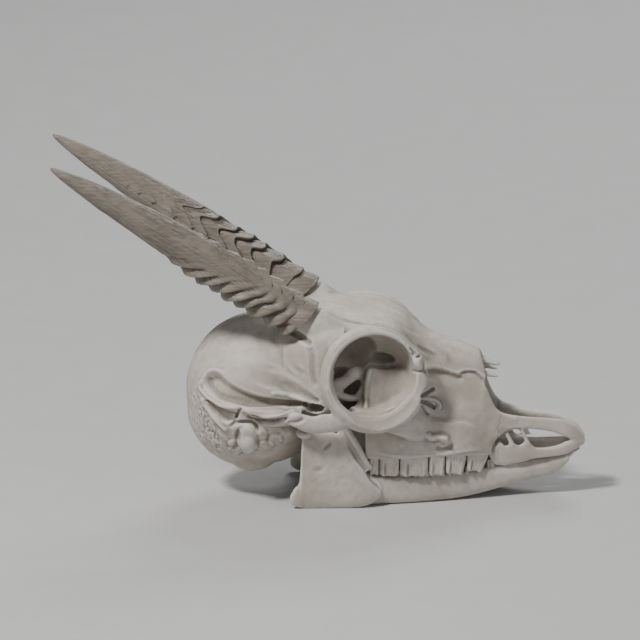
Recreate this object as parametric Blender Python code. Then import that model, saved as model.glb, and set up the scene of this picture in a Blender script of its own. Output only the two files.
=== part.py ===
"""Dik-dik skull with its horns and lower jaw, life size, resting on the jaw's lower edge.

Sizes are in millimetres and are turned into metres where a mesh is made. +X points to the nose, +Y to the
animal's left and +Z up. The origin lies on the floor, below the middle of the whole object.
"""

import math

import bmesh
import bpy
from mathutils import Matrix, Vector

MM = 0.001

# Driving dimensions
GAP = 0.3
BRAINCASE_CENTRE = Vector((-16.2, 0.0, 30.2))
BRAINCASE_RADII = Vector((21.2, 20.6, 21.6))
ORBIT_CENTRE = Vector((15.0, -21.0, 39.0))
ORBIT_RADIUS = 13.2
ORBIT_TURN = 0.22
ORBIT_TILT = 0.10
HORN_BASE = Vector((-6.4, -14.5, 54.8))
HORN_TIP = Vector((-75.4, -19.2, 98.9))
HORN_RADIUS = 5.85
HORN_TAPER_LENGTH = 50.0
HORN_BOW = 0.6
HORN_RINGS = 9
HORN_RINGED_SHARE = 0.5
UPPER_TOOTH_BOTTOM = 9.4
LOWER_TOOTH_TOP = 9.1
SPLIT_POINT = Vector((-8.0, 0.0, 39.0))
SPLIT_LEAN = -18.0

UP = Vector((0.0, 0.0, 1.0))
FORWARD = Vector((1.0, 0.0, 0.0))
LEFTWARD = Vector((0.0, 1.0, 0.0))


def clear_scene():
    for thing in list(bpy.data.objects):
        bpy.data.objects.remove(thing, do_unlink=True)


def make_material(name, colour, roughness):
    material = bpy.data.materials.new(name)
    material.use_nodes = True
    shader = material.node_tree.nodes["Principled BSDF"]
    shader.inputs["Base Color"].default_value = (*colour, 1.0)
    shader.inputs["Roughness"].default_value = roughness
    shader.inputs["Metallic"].default_value = 0.0
    return material


def add_object(name, mesh):
    thing = bpy.data.objects.new(name, mesh)
    bpy.context.scene.collection.objects.link(thing)
    return thing


def smooth_rows(rows, steps):
    """Rows of numbers on a smooth curve through the given rows, with steps rows to each span."""
    made = []
    for i in range(len(rows) - 1):
        before = rows[max(i - 1, 0)]
        first = rows[i]
        last = rows[i + 1]
        after = rows[min(i + 2, len(rows) - 1)]
        for step in range(steps):
            t = step / steps
            row = []
            for a, b, c, d in zip(before, first, last, after):
                value = 2 * b + (c - a) * t + (2 * a - 5 * b + 4 * c - d) * t * t
                value += (3 * b - a - 3 * c + d) * t ** 3
                row.append(value / 2)
            made.append(row)
    made.append(list(rows[-1]))
    return made


def superellipse(angle, power):
    """A point of the curve |a|^power + |b|^power = 1."""
    a = math.cos(angle)
    b = math.sin(angle)
    return math.copysign(abs(a) ** (2 / power), a), math.copysign(abs(b) ** (2 / power), b)


def mesh_of_rings(name, rings, loop=False):
    """A closed mesh from equal rings of points: bridged, and capped at both ends unless they form a loop."""
    frame = bmesh.new()
    rows = [[frame.verts.new(point * MM) for point in ring] for ring in rings]
    pairs = list(zip(rows, rows[1:]))
    if loop:
        pairs.append((rows[-1], rows[0]))
    else:
        for row in (rows[0], rows[-1]):
            middle = sum((vertex.co for vertex in row), Vector()) / len(row)
            centre = frame.verts.new(middle)
            for i, vertex in enumerate(row):
                frame.faces.new((centre, vertex, row[(i + 1) % len(row)]))
    for low, high in pairs:
        for i in range(len(low)):
            j = (i + 1) % len(low)
            frame.faces.new((low[i], low[j], high[j], high[i]))
    bmesh.ops.recalc_face_normals(frame, faces=frame.faces)
    mesh = bpy.data.meshes.new(name)
    frame.to_mesh(mesh)
    frame.free()
    return add_object(name, mesh)


def loft(name, rows, sides=20, steps=2, power=3.0):
    """A body lofted along X through upright sections.

    Each row is x, y, lower edge, upper edge, and the half width low down and high up.
    """
    rings = []
    for x, y, low, high, half_low, half_high in smooth_rows(rows, steps):
        ring = []
        for i in range(sides):
            a, b = superellipse(math.tau * (i + 0.5) / sides, power)
            half = half_low + (half_high - half_low) * (b + 1) / 2
            ring.append(Vector((x, y + a * half, low + (high - low) * (b + 1) / 2)))
        rings.append(ring)
    return mesh_of_rings(name, rings)


def tube(name, rows, sides=8, steps=2, loop=False, up=UP):
    """A rod along a curve. Each row is x, y, z, half width and half height; height lies along up."""
    if loop:
        path = smooth_rows(list(rows) + [rows[0]], steps)[:-1]
    else:
        path = smooth_rows(rows, steps)
    centres = [Vector(row[:3]) for row in path]
    rings = []
    for i, row in enumerate(path):
        if loop:
            ahead = centres[(i + 1) % len(path)] - centres[i - 1]
        else:
            ahead = centres[min(i + 1, len(path) - 1)] - centres[max(i - 1, 0)]
        side = ahead.cross(up).normalized()
        over = side.cross(ahead).normalized()
        ring = []
        for k in range(sides):
            angle = math.tau * (k + 0.5) / sides
            ring.append(centres[i] + side * math.cos(angle) * row[3] + over * math.sin(angle) * row[4])
        rings.append(ring)
    return mesh_of_rings(name, rings, loop)


def ellipsoid(name, centre, radii, pitch=0.0, sides=16, rows=10):
    """An ellipsoid, turned nose up about Y by pitch degrees."""
    frame = bmesh.new()
    bmesh.ops.create_uvsphere(frame, u_segments=sides, v_segments=rows, radius=1.0)
    place = Matrix.Translation(Vector(centre) * MM) @ Matrix.Rotation(math.radians(-pitch), 4, "Y")
    frame.transform(place @ Matrix.Diagonal((*(Vector(radii) * MM), 1.0)))
    mesh = bpy.data.meshes.new(name)
    frame.to_mesh(mesh)
    frame.free()
    return add_object(name, mesh)


def block(name, low, high):
    """An upright box between two corners."""
    middle = (Vector(low) + Vector(high)) / 2 * MM
    size = (Vector(high) - Vector(low)) * MM
    frame = bmesh.new()
    bmesh.ops.create_cube(frame, size=1.0, matrix=Matrix.Translation(middle) @ Matrix.Diagonal((*size, 1.0)))
    mesh = bpy.data.meshes.new(name)
    frame.to_mesh(mesh)
    frame.free()
    return add_object(name, mesh)


def half_space(name, point, lean, forward):
    """A great box on one side of an upright plane through the point, leant forward by lean degrees."""
    reach = 90.0
    low = (-GAP / 2 if forward else -reach, -reach, -reach)
    high = (reach if forward else GAP / 2, reach, reach)
    thing = block(name, low, high)
    turn = Matrix.Rotation(math.radians(lean), 4, "Y")
    thing.data.transform(Matrix.Translation(Vector(point) * MM) @ turn)
    return thing


def mirrored(thing, name):
    """A copy of the piece on the animal's other side."""
    frame = bmesh.new()
    frame.from_mesh(thing.data)
    frame.transform(Matrix.Diagonal((1.0, -1.0, 1.0, 1.0)))
    bmesh.ops.reverse_faces(frame, faces=frame.faces)
    mesh = bpy.data.meshes.new(name)
    frame.to_mesh(mesh)
    frame.free()
    return add_object(name, mesh)


def both_sides(pieces):
    return pieces + [mirrored(piece, piece.name + "_left") for piece in pieces]


def swollen(pieces):
    """The same pieces made larger all round by the gap, to cut room for a neighbour."""
    for piece in pieces:
        frame = bmesh.new()
        frame.from_mesh(piece.data)
        frame.normal_update()
        for vertex in frame.verts:
            vertex.co += vertex.normal * GAP * MM
        frame.to_mesh(piece.data)
        frame.free()
    return pieces


def boolean(target, pieces, operation):
    """Joins closed pieces to the target, or cuts them from it, and removes them."""
    group = bpy.data.collections.new("operands")
    bpy.context.scene.collection.children.link(group)
    for piece in pieces:
        group.objects.link(piece)
    modifier = target.modifiers.new(operation.lower(), "BOOLEAN")
    modifier.operand_type = "COLLECTION"
    modifier.collection = group
    modifier.operation = operation
    modifier.solver = "MANIFOLD"
    bpy.context.view_layer.update()
    graph = bpy.context.evaluated_depsgraph_get()
    result = bpy.data.meshes.new_from_object(target.evaluated_get(graph))
    target.modifiers.clear()
    target.data = result
    for piece in pieces:
        bpy.data.objects.remove(piece, do_unlink=True)
    bpy.data.collections.remove(group)


def keep_largest(thing):
    """Drops every closed surface of the mesh but the one with the most corners."""
    frame = bmesh.new()
    frame.from_mesh(thing.data)
    unseen = set(frame.verts)
    shells = []
    while unseen:
        front = [unseen.pop()]
        shell = set(front)
        while front:
            for edge in front.pop().link_edges:
                for vertex in edge.verts:
                    if vertex not in shell:
                        shell.add(vertex)
                        front.append(vertex)
        unseen -= shell
        shells.append(shell)
    largest = max(shells, key=len)
    scraps = [vertex for shell in shells if shell is not largest for vertex in shell]
    bmesh.ops.delete(frame, geom=scraps, context="VERTS")
    frame.to_mesh(thing.data)
    frame.free()


def finish_node(node, name, material):
    keep_largest(node)
    node.name = name
    node.data.name = name
    node.data.materials.clear()
    node.data.materials.append(material)
    node.data.shade_smooth()
    node.data.set_sharp_from_angle(angle=math.radians(35))
    return node


def fuse(name, pieces, cutters, material):
    """One node from overlapping closed pieces, less the cutters."""
    node = pieces[0]
    if pieces[1:]:
        boolean(node, pieces[1:], "UNION")
    if cutters:
        boolean(node, cutters, "DIFFERENCE")
    return finish_node(node, name, material)


def tooth_line(x):
    """Y of the middle of the right upper tooth row."""
    return -14.3 + 3.6 * max(0.0, (x - 15.0) / 27.0) ** 1.6


def tooth(name, x, y, low, high, half_length, half_width):
    """An upright peg with its root sunk in the jaw."""
    rows = [(x, y, low, half_length, half_width), (x, y, high, half_length * 0.94, half_width * 0.84)]
    return tube(name, rows, steps=1, up=LEFTWARD)


def orbit_plane_y(x, z):
    """How far out the rim of the right eye socket stands at a place on it."""
    return ORBIT_CENTRE.y + (x - ORBIT_CENTRE.x) * ORBIT_TURN + (z - ORBIT_CENTRE.z) * ORBIT_TILT


def orbit_rim():
    """The ring of bone round the right eye socket, wider behind and below."""
    rows = []
    spans = 14
    for i in range(spans):
        angle = math.tau * i / spans
        x = ORBIT_CENTRE.x + ORBIT_RADIUS * math.cos(angle)
        z = ORBIT_CENTRE.z + ORBIT_RADIUS * math.sin(angle)
        rows.append((x, orbit_plane_y(x, z), z, 1.6 + 0.5 * max(0.0, -math.cos(angle)), 1.8))
    return tube("orbit_rim", rows, loop=True, up=-LEFTWARD)


def horn_sheath():
    """The right horn: an oval cone whose raised rings dip towards the front of its base."""
    axis = HORN_TIP - HORN_BASE
    length = axis.length
    ahead = axis.normalized()
    side = ahead.cross(UP).normalized()
    front = side.cross(ahead)
    stations = []
    for ring in range(HORN_RINGS):
        strength = 1 - 0.75 * ring / HORN_RINGS
        for share, height in ((0.0, -0.4), (0.45, 0.2), (0.9, 0.6)):
            stations.append(((ring + share) / HORN_RINGS * HORN_RINGED_SHARE, height * strength))
    smooth_rows_left = 8
    for i in range(smooth_rows_left + 1):
        share = i / smooth_rows_left
        stations.append((HORN_RINGED_SHARE + (1 - HORN_RINGED_SHARE) * share, 0.0))
    sides = 12
    rings = []
    for t, height in stations:
        ring = []
        for k in range(sides):
            angle = math.tau * k / sides
            turn = abs((angle - math.radians(130) + math.pi) % math.tau - math.pi) / math.pi
            slant = (8.0 * turn ** 0.9 - 4.4) * max(0.0, 1 - 1.5 * t)
            s = t + slant / length
            taper = min(1.0, (1 - s) * length / HORN_TAPER_LENGTH)
            radius = HORN_RADIUS * taper ** 0.56 + height + 0.4 * max(0.0, 1 - t * 9)
            place = HORN_BASE + ahead * (s * length) + front * (4 * HORN_BOW * s * (1 - s))
            ring.append(place + front * math.sin(angle) * radius + side * math.cos(angle) * radius * 0.9)
        rings.append(ring)
    return mesh_of_rings("horn", rings)


def middle_pieces():
    """The closed forms of the skull that lie across its middle."""
    return [
        ellipsoid("braincase", BRAINCASE_CENTRE, BRAINCASE_RADII, sides=26, rows=14),
        loft("forehead", [
            (-18.0, 0, 33.0, 46.5, 12.0, 8.0),
            (-12.0, 0, 34.0, 50.6, 17.0, 13.0),
            (-4.0, 0, 35.0, 54.4, 19.4, 16.4),
            (3.0, 0, 36.0, 55.5, 18.8, 16.6),
            (12.0, 0, 36.0, 54.3, 18.4, 18.0),
            (19.0, 0, 36.0, 53.5, 17.4, 17.0),
            (24.0, 0, 35.0, 51.4, 14.8, 13.4),
            (28.5, 0, 34.0, 47.6, 12.2, 10.6),
            (36.0, 0, 33.0, 43.2, 9.8, 7.8),
        ], power=3.6, sides=22),
        loft("rostrum", [
            (2.0, 0, 19.0, 44.0, 8.0, 8.0),
            (8.0, 0, 16.0, 46.0, 10.0, 9.0),
            (14.0, 0, 13.4, 47.0, 15.0, 10.0),
            (24.0, 0, 13.2, 47.0, 15.2, 11.0),
            (34.0, 0, 12.6, 43.8, 13.6, 9.0),
            (43.0, 0, 12.0, 40.4, 11.8, 7.4),
            (51.0, 0, 10.2, 36.6, 8.8, 6.4),
        ], power=4.0, sides=22),
        loft("occiput", [
            (-32.5, 0, 11.5, 25.0, 7.5, 8.5),
            (-29.0, 0, 8.9, 24.5, 10.5, 12.0),
            (-24.0, 0, 8.5, 24.5, 12.5, 14.0),
            (-18.0, 0, 10.5, 25.5, 11.5, 14.0),
            (-10.0, 0, 14.5, 26.5, 8.5, 10.0),
            (-2.0, 0, 16.5, 26.5, 6.5, 7.5),
            (9.0, 0, 16.5, 27.0, 6.4, 7.0),
        ], power=2.4, sides=16),
    ]


def side_pieces():
    """The closed forms of the skull's right side."""
    pieces = [
        orbit_rim(),
        ellipsoid("orbit_wall", (14.0, -13.5, 38.8), (15.0, 8.6, 14.4), sides=18, rows=10),
        loft("postorbital", [
            (-10.0, -14.6, 31.0, 46.0, 4.5, 3.0),
            (-4.0, -17.0, 28.0, 50.0, 4.4, 3.4),
            (2.0, -18.2, 27.0, 51.6, 4.2, 3.4),
            (7.0, -17.6, 28.0, 52.0, 3.6, 3.2),
        ], sides=12),
        loft("lacrimal", [
            (14.0, -13.0, 27.0, 50.0, 7.0, 4.0),
            (22.0, -12.6, 25.5, 50.0, 7.4, 4.6),
            (27.0, -11.4, 25.0, 46.5, 6.8, 3.6),
            (32.0, -8.4, 25.0, 42.0, 5.0, 2.4),
            (38.0, -5.4, 27.0, 39.0, 4.0, 1.6),
        ], sides=12),
        loft("cheek", [
            (9.0, -20.4, 24.6, 28.2, 2.0, 2.0),
            (16.0, -18.4, 23.0, 27.8, 3.6, 3.8),
            (22.0, -16.4, 20.8, 28.0, 4.0, 4.2),
            (28.0, -13.2, 18.0, 27.0, 3.2, 3.6),
            (34.5, -10.6, 16.8, 22.0, 1.6, 1.4),
        ], sides=10),
        loft("tooth_bed", [
            (12.8, -14.2, 13.4, 24.0, 2.4, 2.0),
            (15.0, -14.2, 13.2, 24.0, 2.7, 2.0),
            (24.0, -13.6, 13.2, 24.0, 2.9, 2.0),
            (33.0, -12.0, 13.4, 24.0, 2.6, 2.0),
            (42.0, -10.4, 13.2, 23.0, 2.3, 1.6),
            (48.6, -8.2, 12.6, 18.0, 0.8, 0.6),
        ], sides=10, power=5.0),
        tube("arch", [
            (14.0, -20.4, 26.4, 1.8, 2.0),
            (8.0, -22.6, 26.6, 1.4, 2.4),
            (3.0, -23.6, 26.0, 1.3, 2.8),
            (-3.0, -23.8, 25.9, 1.3, 2.6),
            (-8.0, -23.2, 27.4, 1.6, 1.9),
            (-14.0, -21.4, 28.6, 2.4, 1.5),
            (-20.0, -19.0, 29.2, 2.6, 1.2),
            (-24.5, -16.6, 29.0, 1.6, 1.2),
        ], sides=10),
        loft("jaw_socket", [
            (-19.0, -15.4, 24.4, 29.6, 3.5, 3.5),
            (-14.0, -17.0, 24.0, 29.4, 5.4, 5.4),
            (-9.0, -17.6, 24.4, 29.0, 5.4, 5.4),
            (-5.0, -16.4, 25.2, 29.0, 4.4, 4.4),
        ], sides=12),
        tube("temporal_ridge", [
            (-29.5, -12.6, 37.4, 0.8, 0.8),
            (-33.2, -10.6, 33.6, 1.1, 1.1),
            (-32.4, -12.6, 30.4, 1.2, 1.2),
            (-27.6, -16.6, 29.8, 1.2, 1.2),
            (-21.0, -19.4, 30.4, 1.0, 1.0),
        ], sides=6),
        tube("mastoid_ridge", [
            (-33.0, -11.0, 31.0, 0.9, 0.9),
            (-31.4, -12.4, 26.0, 1.3, 1.3),
            (-28.6, -13.8, 21.8, 1.5, 1.5),
            (-25.6, -14.4, 19.0, 1.2, 1.2),
        ], sides=6),
        ellipsoid("condyle", (-21.5, -5.6, 11.0), (6.8, 4.6, 4.2), pitch=14, sides=12, rows=8),
        ellipsoid("ear_bulb", (-19.8, -15.0, 20.2), (3.6, 3.8, 4.6), sides=10, rows=8),
        ellipsoid("ear_bulb_front", (-12.6, -12.0, 19.0), (4.4, 4.4, 3.8), sides=10, rows=8),
        ellipsoid("face_knob", (33.0, -12.0, 17.8), (3.6, 2.4, 1.8), sides=10, rows=6),
        tube("horn_core", [
            (6.0, -13.2, 46.4, 6.8, 6.6),
            (0.5, -14.1, 50.6, 6.2, 6.4),
            (-5.0, -14.5, 54.0, 5.2, 5.6),
            (-8.5, -14.7, 56.4, 4.6, 4.8),
        ], sides=12),
    ]
    for i, (x, half) in enumerate(((15.3, 1.6), (18.4, 1.6), (21.0, 1.6), (24.5, 2.0), (28.6, 2.1),
                                   (33.0, 2.3), (38.4, 3.1), (44.4, 3.2))):
        width = 2.2 if x < 30 else 1.9
        pieces.append(tooth("upper_tooth_%d" % i, x, tooth_line(x), 17.0, UPPER_TOOTH_BOTTOM, half, width))
    return pieces


def skull_hollows():
    """What is cut from the whole skull: eye sockets, nose opening, palate, throat and spinal opening."""
    paired = [
        ellipsoid("socket", (15.2, -22.4, 39.3), (11.7, 15.2, 11.6), sides=20, rows=12),
        tube("temporal_passage", [
            (9.0, -17.0, 35.0, 3.0, 4.0),
            (3.0, -19.0, 32.4, 2.6, 3.0),
            (-3.0, -21.0, 30.8, 2.0, 1.9),
            (-9.0, -22.6, 31.6, 2.0, 1.9),
        ], sides=8),
        ellipsoid("face_hollow", (38.0, -16.2, 30.0), (12.0, 6.6, 8.0), pitch=-12, sides=14, rows=8),
    ]
    middle = [
        loft("nose", [
            (33.0, 0, 24.0, 34.0, 2.6, 2.6),
            (39.0, 0, 19.5, 38.4, 5.6, 4.6),
            (46.0, 0, 16.0, 38.0, 7.0, 4.8),
            (60.0, 0, 14.0, 36.6, 6.4, 4.6),
        ], sides=14),
        loft("palate", [
            (6.0, 0, 4.0, 16.0, 7.0, 6.0),
            (14.0, 0, 4.0, 16.6, 11.6, 9.6),
            (25.0, 0, 4.0, 15.8, 11.2, 9.4),
            (35.0, 0, 4.0, 15.2, 9.8, 8.0),
            (43.0, 0, 4.0, 14.6, 8.2, 7.2),
            (49.0, 0, 4.0, 14.4, 8.0, 7.6),
            (54.0, 0, 4.0, 13.0, 6.0, 6.0),
        ], sides=14, power=3.0),
        loft("throat", [
            (-9.0, 0, 8.0, 18.0, 3.2, 3.2),
            (0.0, 0, 10.0, 22.0, 4.4, 4.0),
            (8.0, 0, 12.0, 23.0, 4.4, 4.0),
            (18.0, 0, 17.6, 22.4, 3.8, 3.6),
        ], sides=12),
        tube("spinal_opening", [(-31.0, 0, 5.0, 4.0, 4.2), (-22.0, 0, 18.0, 4.0, 4.2)], sides=12, steps=1),
        half_space("nose_front", (48.8, 0, 30.3), -19.0, forward=True),
    ]
    return both_sides(paired) + middle


def nasal_roof():
    """The nasal bones as one solid arched bar."""
    return loft("nasals", [
        (26.5, 0, 45.4, 49.6, 2.0, 1.6),
        (30.0, 0, 42.2, 47.4, 4.8, 3.4),
        (34.0, 0, 39.8, 45.5, 7.4, 5.0),
        (38.0, 0, 38.0, 43.9, 8.2, 5.4),
        (43.0, 0, 36.2, 41.9, 8.0, 5.0),
        (47.0, 0, 34.6, 40.1, 6.8, 4.0),
        (49.0, 0, 34.6, 38.2, 4.6, 2.4),
    ], sides=16)


def premaxilla_pieces():
    """The right premaxilla: an upper bar and a lower plate that meet in the tip, with a strut behind."""
    return [
        tube("bar", [
            (49.6, -7.0, 25.4, 1.1, 3.6),
            (54.2, -5.6, 22.6, 1.1, 2.9),
            (60.0, -4.4, 21.0, 1.1, 2.7),
            (66.5, -3.9, 20.6, 1.2, 2.7),
            (71.0, -3.1, 18.6, 1.3, 2.9),
            (74.6, -2.0, 15.4, 1.3, 1.5),
        ], up=Vector((0.0, 0.6, 1.0))),
        loft("plate", [
            (50.4, -6.6, 9.6, 17.0, 1.1, 0.7),
            (55.0, -6.2, 9.8, 16.8, 1.1, 0.7),
            (60.0, -5.6, 10.6, 15.0, 1.1, 0.7),
            (66.0, -4.8, 11.6, 15.0, 1.2, 0.8),
            (71.0, -3.6, 12.6, 16.6, 1.6, 1.3),
            (74.8, -2.2, 14.4, 16.6, 1.4, 1.2),
        ], sides=10),
        loft("strut", [
            (50.4, -7.0, 12.0, 24.0, 1.2, 1.2),
            (52.8, -6.8, 12.0, 23.0, 1.0, 1.0),
        ], sides=8, steps=1),
    ]


def mandible_pieces():
    """The right half of the lower jaw without its teeth."""
    return [
        loft("body", [
            (4.0, -17.8, 2.0, 16.0, 1.6, 1.6),
            (9.0, -16.8, 0.4, 12.6, 2.2, 2.0),
            (13.0, -15.2, 0.0, 9.2, 2.8, 2.4),
            (19.0, -13.4, -0.4, 8.8, 3.0, 2.6),
            (31.0, -10.8, -0.3, 8.8, 2.8, 2.4),
            (40.0, -8.6, 0.4, 8.9, 2.5, 2.1),
            (48.0, -6.6, 1.8, 9.2, 2.2, 1.9),
            (58.0, -3.9, 4.0, 10.0, 2.3, 1.9),
            (66.5, -2.7, 6.0, 11.2, 2.6, 2.2),
            (70.5, -2.4, 9.8, 12.0, 2.2, 2.2),
        ], sides=10),
        loft("ramus", [
            (-8.2, -19.6, 1.8, 4.2, 0.7, 0.6),
            (-6.6, -19.4, 0.5, 8.0, 1.1, 0.8),
            (-4.4, -19.2, -0.3, 16.0, 1.2, 1.0),
            (-3.2, -19.0, -0.4, 22.4, 1.2, 1.0),
            (1.0, -18.8, -0.4, 22.6, 1.4, 1.1),
            (6.0, -18.6, -0.4, 21.0, 1.5, 1.1),
            (9.0, -18.4, -0.3, 15.4, 1.6, 1.3),
            (12.0, -18.2, 0.2, 11.0, 1.5, 1.2),
            (15.0, -17.8, 1.2, 6.8, 1.2, 1.1),
            (17.4, -17.2, 3.0, 4.6, 0.7, 0.6),
        ], sides=10),
        tube("coronoid", [
            (12.4, -16.6, 10.0, 1.4, 2.6),
            (9.8, -17.2, 16.0, 1.2, 2.4),
            (7.2, -17.8, 21.6, 1.0, 2.0),
            (5.6, -18.0, 26.0, 0.8, 1.3),
        ], up=FORWARD),
        ellipsoid("condyle", (-4.4, -18.6, 22.0), (2.2, 4.0, 1.6), sides=10, rows=6),
    ]


def lower_teeth():
    """Cheek teeth of the right lower jaw, with one that shows ahead of the upper row, and four incisors."""
    pieces = []
    for i, x in enumerate((15.5, 18.8, 22.1, 25.6, 29.2, 33.0, 37.6, 42.8)):
        pieces.append(tooth("lower_tooth_%d" % i, x, tooth_line(x) + 2.1, 5.0, LOWER_TOOTH_TOP, 1.5, 1.3))
    pieces.append(tooth("lower_tooth_front", 48.4, -6.0, 7.0, 11.4, 1.2, 1.0))
    for i in range(4):
        y = -0.8 - i * 0.95
        rows = [(68.5, y, 10.6, 0.5, 0.7), (73.2 - i * 0.5, y * 1.12, 12.3, 0.5, 0.4)]
        pieces.append(tube("incisor_%d" % i, rows, sides=6, steps=1))
    return pieces


def cranium(bone):
    """Braincase and face, made as one and parted by a leaning cut behind the horns."""
    pieces = middle_pieces() + both_sides(side_pieces())
    neighbours = premaxilla_pieces() + mandible_pieces() + [horn_sheath()]
    room = both_sides(swollen(neighbours)) + swollen([nasal_roof()])
    face = fuse("face", pieces, skull_hollows() + room, bone)
    rear = face.copy()
    rear.data = face.data.copy()
    bpy.context.scene.collection.objects.link(rear)
    boolean(face, [half_space("rear_side", SPLIT_POINT, SPLIT_LEAN, forward=False)], "DIFFERENCE")
    boolean(rear, [half_space("front_side", SPLIT_POINT, SPLIT_LEAN, forward=True)], "DIFFERENCE")
    finish_node(face, "face", bone)
    finish_node(rear, "braincase", bone)


def nasals(bone):
    nose = loft("nose", [
        (38.0, 0, 30.0, 37.4, 4.0, 3.0),
        (42.0, 0, 30.0, 39.2, 7.0, 3.4),
        (46.0, 0, 30.0, 38.3, 6.0, 2.8),
        (52.0, 0, 28.0, 36.6, 5.0, 2.0),
    ], sides=12)
    fuse("nasals", [nasal_roof()], [nose], bone)


def side_nodes(bone, keratin):
    """The right premaxilla, horn and half jaw, each with its mirror image."""
    middle = block("middle", (-20, -GAP / 2, -5), (90, 9, 40))
    made = [fuse("premaxilla_right", premaxilla_pieces(), [middle], bone)]
    made.append(fuse("horn_right", [horn_sheath()], [], keratin))
    middle = block("middle", (-20, -GAP / 2, -5), (90, 9, 40))
    floor = block("floor", (-20, -40, -9), (90, 9, 0.0))
    room = swollen(premaxilla_pieces())
    made.append(fuse("mandible_right", mandible_pieces() + lower_teeth(), [middle, floor] + room, bone))
    for node in made:
        finish_node(mirrored(node, "left"), node.name.replace("right", "left"), node.data.materials[0])


def main():
    clear_scene()
    bone = make_material("bone", (0.62, 0.58, 0.50), 0.6)
    keratin = make_material("horn", (0.12, 0.10, 0.085), 0.5)
    cranium(bone)
    nasals(bone)
    side_nodes(bone, keratin)


main()
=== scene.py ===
"""Dik-dik skull: the fine surfaces, materials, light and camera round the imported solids.

Sizes are in millimetres and become metres when a piece is finished. +X points to the nose, +Y to the animal's
left and +Z up. Shapes on a side of the skull are written for the right side and mirrored.

Strokes that carve the surface are placed by x and by a height q, measured across a view from the side that
looks down by VIEW_TILT: q = z cos(tilt) - |y| sin(tilt).
"""

import math

import bmesh
import bpy
import numpy as np
from mathutils import Matrix, Vector


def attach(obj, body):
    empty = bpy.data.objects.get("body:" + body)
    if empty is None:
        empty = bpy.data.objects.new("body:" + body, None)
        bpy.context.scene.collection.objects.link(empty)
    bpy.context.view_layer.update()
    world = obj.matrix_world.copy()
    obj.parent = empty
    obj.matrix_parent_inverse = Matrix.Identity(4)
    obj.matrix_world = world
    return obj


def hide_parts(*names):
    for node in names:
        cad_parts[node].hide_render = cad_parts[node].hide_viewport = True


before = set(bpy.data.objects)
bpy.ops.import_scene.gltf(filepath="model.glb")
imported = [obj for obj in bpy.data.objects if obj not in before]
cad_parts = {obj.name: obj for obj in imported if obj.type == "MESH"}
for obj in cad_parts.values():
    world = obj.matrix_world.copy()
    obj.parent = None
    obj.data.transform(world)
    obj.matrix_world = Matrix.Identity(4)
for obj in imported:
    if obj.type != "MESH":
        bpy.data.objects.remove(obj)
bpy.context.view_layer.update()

# Driving dimensions. ROUNDS fits the number of smoothing rounds to the size of the net's squares, and
# HALF_WIDTH is the widest that the solids allow.
FINE_VOXEL = 0.3
VOXEL = FINE_VOXEL
ROUNDS = (FINE_VOXEL / VOXEL) ** 2
SUTURE = 0.07
HALF_WIDTH = 25.82
VIEW_TILT = math.radians(15)
BRAINCASE_CENTRE = Vector((-16.2, 0, 30.2))
BRAINCASE_RADII = Vector((21.2, 20.6, 21.6))
ORBIT_CENTRE = Vector((15, -21, 39))
ORBIT_RADIUS = 13.2
ORBIT_TURN = 0.22
ORBIT_TILT = 0.10
HORN_BASE = np.array((-6.4, -14.5, 54.8))
HORN_TIP = np.array((-75.32, -19.2, 98.74))
HORN_RADIUS = 5.7
HORN_TAPER_LENGTH = 50.0
HORN_BOW = 0.6
HORN_SIDES = 288
HORN_PHASES = (0, 0.02, 0.05, 0.09, 0.13, 0.18, 0.24, 0.31, 0.38, 0.46, 0.54, 0.62, 0.7, 0.78, 0.86, 0.93,
               0.985)
FLOOR_SIZE = 6.0
IMAGE_WIDTH = 180.8
IMAGE_CENTRE = (0.14, 48.0)
LENS = 800.0
SENSOR = 36.0

UP = Vector((0, 0, 1))
FORWARD = Vector((1, 0, 0))
LEFTWARD = Vector((0, 1, 0))


# Mesh tools

def add_object(name, data):
    thing = bpy.data.objects.new(name, data)
    bpy.context.scene.collection.objects.link(thing)
    return thing


def form_of(mesh):
    form = bmesh.new()
    form.from_mesh(mesh)
    return form


def object_from(name, form):
    """A new object with the shape of a bmesh, which is freed."""
    mesh = bpy.data.meshes.new(name)
    form.to_mesh(mesh)
    form.free()
    return add_object(name, mesh)


def smooth_rows(rows, steps):
    """Rows of numbers on a smooth curve through the given rows, with steps rows to each span."""
    made = []
    for i in range(len(rows) - 1):
        near = (rows[max(i - 1, 0)], rows[i], rows[i + 1], rows[min(i + 2, len(rows) - 1)])
        for step in range(steps):
            t = step / steps
            row = []
            for a, b, c, d in zip(*near):
                value = 2 * b + (c - a) * t + (2 * a - 5 * b + 4 * c - d) * t * t
                row.append((value + (3 * b - a - 3 * c + d) * t ** 3) / 2)
            made.append(row)
    return made + [list(rows[-1])]


def ring_mesh(name, rings, loop=False):
    """A closed mesh from equal rings of points: joined in turn, and capped unless they form a loop."""
    points = [tuple(point) for ring in rings for point in ring]
    size = len(rings[0])
    count = len(rings)
    faces = []
    for i in range(count if loop else count - 1):
        low = i * size
        high = ((i + 1) % count) * size
        for k in range(size):
            n = (k + 1) % size
            faces.append((low + k, low + n, high + n, high + k))
    if not loop:
        for start in (0, (count - 1) * size):
            points.append(tuple(np.mean(np.array(points[start:start + size]), axis=0)))
            faces += [(len(points) - 1, start + k, start + (k + 1) % size) for k in range(size)]
    mesh = bpy.data.meshes.new(name)
    mesh.from_pydata(points, [], faces)
    form = form_of(mesh)
    bpy.data.meshes.remove(mesh)
    bmesh.ops.recalc_face_normals(form, faces=form.faces)
    return object_from(name, form)


def superellipse(angle, power):
    a = math.cos(angle)
    b = math.sin(angle)
    return math.copysign(abs(a) ** (2 / power), a), math.copysign(abs(b) ** (2 / power), b)


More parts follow.
